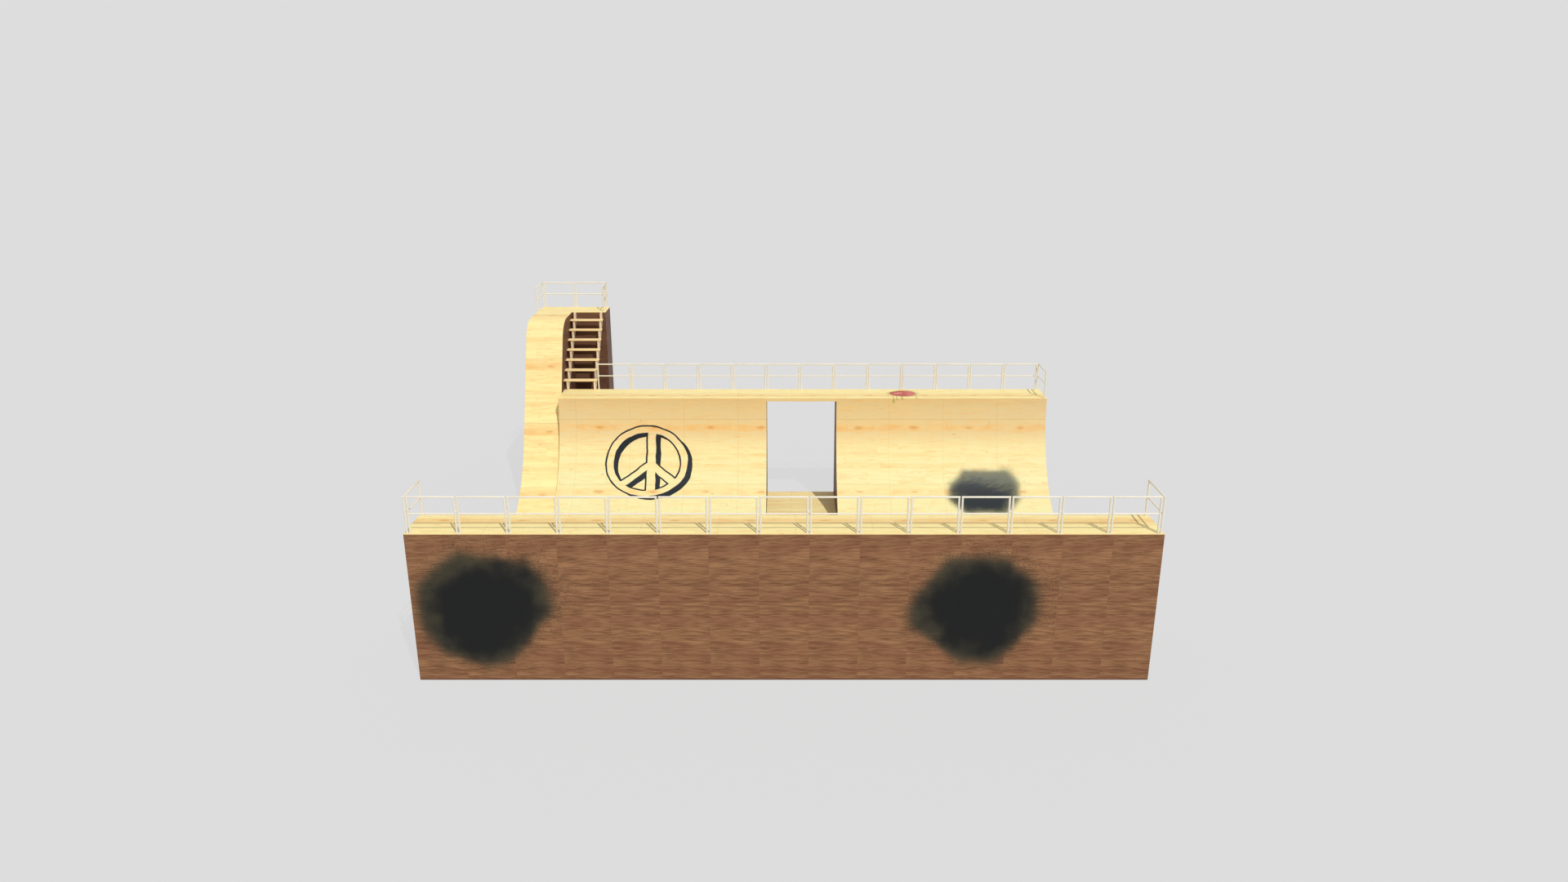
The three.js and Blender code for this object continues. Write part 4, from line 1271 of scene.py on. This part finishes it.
class SKATERAMP_OT_cladding(bpy.types.Operator):
    """Clad the walls in stained panels and stain the closed sides, with painted shade in the tower and
    on the sides
    """

    bl_idname = "skate_ramp.cladding"
    bl_label = "Cladding"

    def execute(self, context):
        scene = context.scene
        sheets = scene.ramp_sheets
        plain = stained_boards(scene, "stained boards", 0)
        painted = stained_boards(scene, "stained boards with spray", 0, sprays=True)
        # Painted shade darkens the tower's walls, the closed sides and the jambs
        side = stained_boards(scene, "stained side boards", 1, aged=0.65)
        dark = stained_boards(scene, "aged boards", 0, aged=0.65)
        walls = (
            ("front_wall", -Y_AXIS, painted),
            ("rear_left_wall", Y_AXIS, plain),
            ("rear_right_wall", Y_AXIS, plain),
            ("tower_back_wall", Y_AXIS, plain),
            ("tower_front_wall", -Y_AXIS, dark),
            ("tower_right_side", X_AXIS, side),
        )
        for node, outward, material in walls:
            low, high = (Vector(corner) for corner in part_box(node))
            if outward.y > 0:
                low.y = high.y - WALL_SHEET
            if outward.y < 0:
                high.y = low.y + WALL_SHEET
            piece = clad_wall(f"{node}_panels", low, high, outward, sheets)
            own(piece, material, "cladding", node)
        other_finish = ("tower_right_side", "rear_left_side")
        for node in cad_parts:
            if node.endswith(("_side", "_jamb")) and node not in other_finish:
                dress(node, side)
        dress("rear_left_side", plain_veneer(scene, "plain side veneer"))
        return {"FINISHED"}


class SKATERAMP_OT_floors(bpy.types.Operator):
    """Finish the flat bottom, the doorway's floor and its header"""

    bl_idname = "skate_ramp.floors"
    bl_label = "Floors and Header"

    def execute(self, context):
        scene = context.scene
        sheets = scene.ramp_sheets
        for node in ("flat_bottom", "door_floor"):
            low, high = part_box(node)
            top = flat_sheets(f"{node}_sheets", (low.x, low.y, FLOOR_TOP - FLOOR_SHEET), high, sheets)
            flat_measure(top, low.y, 1, FLOOR_TOP)
            shade_sheet(top)
            top.data.materials.append(riding_wood(scene, f"{node} veneer", warmer=0.2))
            under = self.sleepers(node, low, high, sheets)
            under.data.materials.append(sawn_timber(scene, f"{node} timber", scene.ramp_finish.framing))
            for name in ("run", "depth"):
                store(under, name, [0.0] * len(under.data.vertices))
            hand_in(fuse(f"{node}_boards", [top, under]), "plywood", node)
        dress("door_header", plain_veneer(scene, "header veneer"))
        return {"FINISHED"}

    def sleepers(self, node, low, high, sheets):
        """Sleepers under the floor, spread evenly no further apart than their spacing."""
        half = SLEEPER_WIDTH / 2
        first, last = low.y + half, high.y - half
        count = math.ceil((last - first) / SLEEPER_SPACING)
        bar = block("sleeper", (low.x, -half, 0), (high.x, half, FLOOR_TOP - FLOOR_SHEET))
        soften(bar, sheets.edge_round)
        shade(bar)
        copies = [
            duplicate(bar, f"{node}_sleeper_{i}", (0, first + (last - first) * i / count, 0))
            for i in range(count + 1)
        ]
        discard(bar)
        return fuse(f"{node}_sleepers", copies)


# Stairs


class SKATERAMP_OT_stairs(bpy.types.Operator):
    """Shape the treads and stringers of the stairs"""

    bl_idname = "skate_ramp.stairs"
    bl_label = "Stairs"

    def execute(self, context):
        scene = context.scene
        sizes = scene.ramp_stairs
        boards = tread_wood(scene, "tread boards")
        timber = sawn_timber(scene, "stringer timber", scene.ramp_finish.stringer, figure=0.4)
        treads = sorted(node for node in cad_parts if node.startswith("stair_tread"))
        first_low, first_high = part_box(treads[0])
        pattern = block("tread", first_low, first_high)
        soften(pattern, sizes.tread_round, segments=4)
        shade_sheet(pattern)
        for node in treads:
            piece = duplicate(pattern, f"{node}_board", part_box(node)[0] - first_low)
            own(piece, boards, "plywood", node)
        discard(pattern)
        for node in ("stair_left_stringer", "stair_right_stringer"):
            activate(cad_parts[node])
            bpy.ops.object.duplicate(linked=False)
            piece = bpy.context.object
            piece.name = piece.data.name = f"{node}_timber"
            edit(piece)
            pick(piece, "faces", everything)
            bpy.ops.mesh.remove_doubles(threshold=MERGE_DISTANCE)
            bpy.ops.mesh.dissolve_limited(angle_limit=FLAT_BEND)
            leave()
            soften(piece, sizes.stringer_round)
            shade_sheet(piece)
            own(piece, timber, "stringer", node)
        return {"FINISHED"}


# Guard rails


class SKATERAMP_OT_rails(bpy.types.Operator):
    """Weld the guard rail panels from round tube and bolt them down"""

    bl_idname = "skate_ramp.rails"
    bl_label = "Guard Rails"

    def execute(self, context):
        scene = context.scene
        self.sizes = scene.ramp_rails
        self.coat = powder_coat(scene, "cream powder coat")
        self.zinc = zinc(scene, "zinc plated bolts")
        patterns = {}
        for node in RAIL_NODES:
            low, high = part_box(node)
            size = high - low
            crossing = size.y > size.x
            span = max(size.x, size.y) - 2 * PLATE_MARGIN
            count = round((span + PANEL_GAP) / PANEL_PITCH)
            pitch = (span + PANEL_GAP) / count
            key = round(pitch, 5)
            if key not in patterns:
                patterns[key] = self.panel(f"panel_{len(patterns)}", pitch, size.z)
            middle = Vector(((low.x + high.x) / 2, (low.y + high.y) / 2, low.z))
            parts = self.run(node, patterns[key], count, pitch)
            piece = fuse(f"{node}_tubes", parts)
            piece.rotation_euler.z = math.pi / 2 if crossing else 0.0
            piece.location = middle
            settle(piece, f"{node}_tubes")
            hand_in(piece, "rail", node)
        discard(*patterns.values())
        return {"FINISHED"}

    def panel(self, name, pitch, height):
        """One panel, centred on X: two posts, a top rail over them, a mid rail and the weld beads."""
        sides, weld = self.sizes.tube_sides, self.sizes.weld
        half = (pitch - PANEL_GAP) / 2
        post_x = half - TUBE
        rail_z = height - TUBE
        top = pipe("top", (-half, 0, rail_z), (half, 0, rail_z), TUBE, sides)
        soften(top, TUBE_END_ROUND, angle=TUBE_END_BEND)
        mid = pipe("mid", (-post_x, 0, MID_RAIL_HEIGHT), (post_x, 0, MID_RAIL_HEIGHT), MID_TUBE, sides)
        parts = [top, mid]
        level, sideways = (0, 0, 0), (0, math.pi / 2, 0)
        for x in (-post_x, post_x):
            inner = x - math.copysign(TUBE, x)
            parts += (
                pipe("post", (x, 0, PLATE_THICKNESS), (x, 0, rail_z), TUBE, sides),
                ring("foot weld", (x, 0, PLATE_THICKNESS), TUBE, weld, level),
                ring("mid weld", (inner, 0, MID_RAIL_HEIGHT), MID_TUBE, weld, sideways),
                ring("top weld", (x, 0, rail_z - TUBE), TUBE * 0.9, weld, level),
            )
        piece = fuse(name, parts)
        shade(piece, SHARP_BEND)
        piece.data.materials.append(self.coat)
        return piece

    def coated(self, name, low, high):
        """A block of coated flat bar with rounded edges."""
        bar = block(name, low, high)
        soften(bar, self.sizes.plate_round)
        bar.data.materials.append(self.coat)
        return bar

    def plate(self, low_x, high_x, bolt_places):
        """A base plate between two limits, with its bolts."""
        low = (low_x - PLATE_MARGIN, -PLATE_HALF_WIDTH, 0)
        high = (high_x + PLATE_MARGIN, PLATE_HALF_WIDTH, PLATE_THICKNESS)
        parts = [self.coated("plate", low, high)]
        for x in bolt_places:
            for y in (-self.sizes.bolt_offset, self.sizes.bolt_offset):
                parts.append(self.bolt(Vector((x, y, PLATE_THICKNESS))))
        return parts

    def bolt(self, start):
        """An upright hexagon head on a washer."""
        radius, height = self.sizes.bolt_radius, self.sizes.bolt_height
        seat = start + Z_AXIS * height * WASHER_SHARE
        washer = pipe("washer", start, seat, radius * WASHER_SPREAD, 16)
        head = pipe("head", seat, start + Z_AXIS * height, radius, 6)
        soften(head, radius * HEAD_ROUND, segments=1)
        piece = fuse("bolt", [washer, head])
        piece.data.materials.append(self.zinc)
        return piece

    def run(self, node, pattern, count, pitch):
        """Panels side by side. Neighbours share a base plate and are tied by a strap."""
        parts = [
            duplicate(pattern, f"{node}_panel_{i}", ((i - (count - 1) / 2) * pitch, 0, 0))
            for i in range(count)
        ]
        pair = PANEL_GAP / 2 + 2 * TUBE
        strap_half = PANEL_GAP / 2 + STRAP_OVERLAP
        strap_z = MID_RAIL_HEIGHT + STRAP_RISE
        for i in range(1, count):
            x = (i - count / 2) * pitch
            parts += self.plate(x - pair, x + pair, (x,))
            low = (x - strap_half, -STRAP_HALF_DEPTH, strap_z - STRAP_HEIGHT / 2)
            high = (x + strap_half, STRAP_HALF_DEPTH, strap_z + STRAP_HEIGHT / 2)
            parts.append(self.coated("strap", low, high))
        end = (count * pitch - PANEL_GAP) / 2
        parts += self.plate(-end, 2 * TUBE - end, (TUBE - end,))
        parts += self.plate(end - 2 * TUBE, end, (end - TUBE,))
        return parts


class SKATERAMP_OT_framing(bpy.types.Operator):
    """Finish the ribs and posts inside the ramp"""

    bl_idname = "skate_ramp.framing"
    bl_label = "Framing"

    def execute(self, context):
        timber = sawn_timber(context.scene, "sawn framing", context.scene.ramp_finish.framing)
        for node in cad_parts:
            if "_rib" in node or node == "tower_frame":
                dress(node, timber)
        return {"FINISHED"}


# Stage


class SKATERAMP_OT_stage(bpy.types.Operator):
    """Set the floor, the light and the camera"""

    bl_idname = "skate_ramp.stage"
    bl_label = "Stage"

    def execute(self, context):
        scene = context.scene
        stage = scene.ramp_stage
        scene.view_settings.view_transform = "Standard"
        self.lay_floor(stage)
        self.light_world(scene, stage)
        self.shine(stage)
        self.place_camera(scene)
        return {"FINISHED"}

    def shine(self, stage):
        """Adds the key light."""
        select()
        bpy.ops.object.light_add(type="SUN", location=SUN_PLACE)
        sun = bpy.context.object
        sun.name = "key light"
        sun.data.energy = stage.sun
        sun.data.angle = SUN_SPREAD
        sun.rotation_euler = SUN_DIRECTION.to_track_quat("-Z", "Y").to_euler()

    def place_camera(self, scene):
        """Adds the camera in front of the ramp and above it."""
        select()
        tilt = (math.radians(90 - CAMERA_TILT), 0, 0)
        bpy.ops.object.camera_add(location=CAMERA_PLACE, rotation=tilt)
        camera = bpy.context.object
        camera.data.sensor_width = CAMERA_SENSOR
        camera.data.lens = CAMERA_LENS
        camera.data.clip_end = CAMERA_REACH
        scene.camera = camera

    def seen(self, graph):
        """1 for rays that show the backdrop: straight from the camera, mirrored or seen through."""
        kinds = ("Camera", "Glossy", "Transmission")
        straight, mirrored, through = (
            graph.node("ShaderNodeLightPath", output=f"Is {kind} Ray") for kind in kinds
        )
        return graph.higher(graph.higher(straight, mirrored), through)

    def lay_floor(self, stage):
        """Lays a wide floor that looks like the backdrop and takes only a faint light and shadow."""
        select()
        bpy.ops.mesh.primitive_plane_add(size=2 * stage.floor_half, location=(0, 0, -FLOOR_DROP))
        floor = bpy.context.object
        floor.name = "floor"
        material = bpy.data.materials.new("studio floor")
        graph = Nodes(material, "ShaderNodeOutputMaterial")
        backdrop = {"Color": tuple(stage.backdrop)}
        matt = graph.node("ShaderNodeBsdfDiffuse", None, backdrop)
        glow = graph.node("ShaderNodeEmission", None, backdrop)
        graph.mix_ends(self.seen(graph) * (1 - stage.shadow), matt, glow)
        floor.data.materials.append(material)

    def light_world(self, scene, stage):
        """Gives even light from all round, behind which the camera sees the backdrop."""
        world = bpy.data.worlds.new("studio")
        scene.world = world
        graph = Nodes(world, "ShaderNodeOutputWorld")
        plain = graph.node("ShaderNodeBackground", None, {"Color": (1, 1, 1), "Strength": stage.sky})
        shown = graph.node("ShaderNodeBackground", None, {"Color": tuple(stage.backdrop)})
        graph.mix_ends(self.seen(graph), plain, shown)


OPERATORS = (
    SKATERAMP_OT_stage,
    SKATERAMP_OT_riding_skins,
    SKATERAMP_OT_roll_in,
    SKATERAMP_OT_decks,
    SKATERAMP_OT_floors,
    SKATERAMP_OT_cladding,
    SKATERAMP_OT_stairs,
    SKATERAMP_OT_rails,
    SKATERAMP_OT_framing,
)


class SKATERAMP_PT_panel(bpy.types.Panel):
    """Lists the ramp's groups of pieces and their settings"""

    bl_idname = "SKATERAMP_PT_panel"
    bl_label = "Skate Ramp"
    bl_space_type = "VIEW_3D"
    bl_region_type = "UI"
    bl_category = "Skate Ramp"

    def draw(self, context):
        for operator in OPERATORS:
            self.layout.operator(operator.bl_idname)
        for name, group in SETTINGS.items():
            box = self.layout.box()
            box.label(text=group.__doc__)
            for key in group.__annotations__:
                box.prop(getattr(context.scene, name), key)


def register():
    for group in SETTINGS.values():
        bpy.utils.register_class(group)
    for name, group in SETTINGS.items():
        setattr(bpy.types.Scene, name, PointerProperty(type=group))
    for operator in (*OPERATORS, SKATERAMP_PT_panel):
        bpy.utils.register_class(operator)


def unregister():
    for operator in reversed((*OPERATORS, SKATERAMP_PT_panel)):
        bpy.utils.unregister_class(operator)
    for name, group in SETTINGS.items():
        delattr(bpy.types.Scene, name)
        bpy.utils.unregister_class(group)


def main():
    register()
    for operator in OPERATORS:
        group, name = operator.bl_idname.split(".")
        getattr(getattr(bpy.ops, group), name)()


if __name__ == "__main__":
    main()
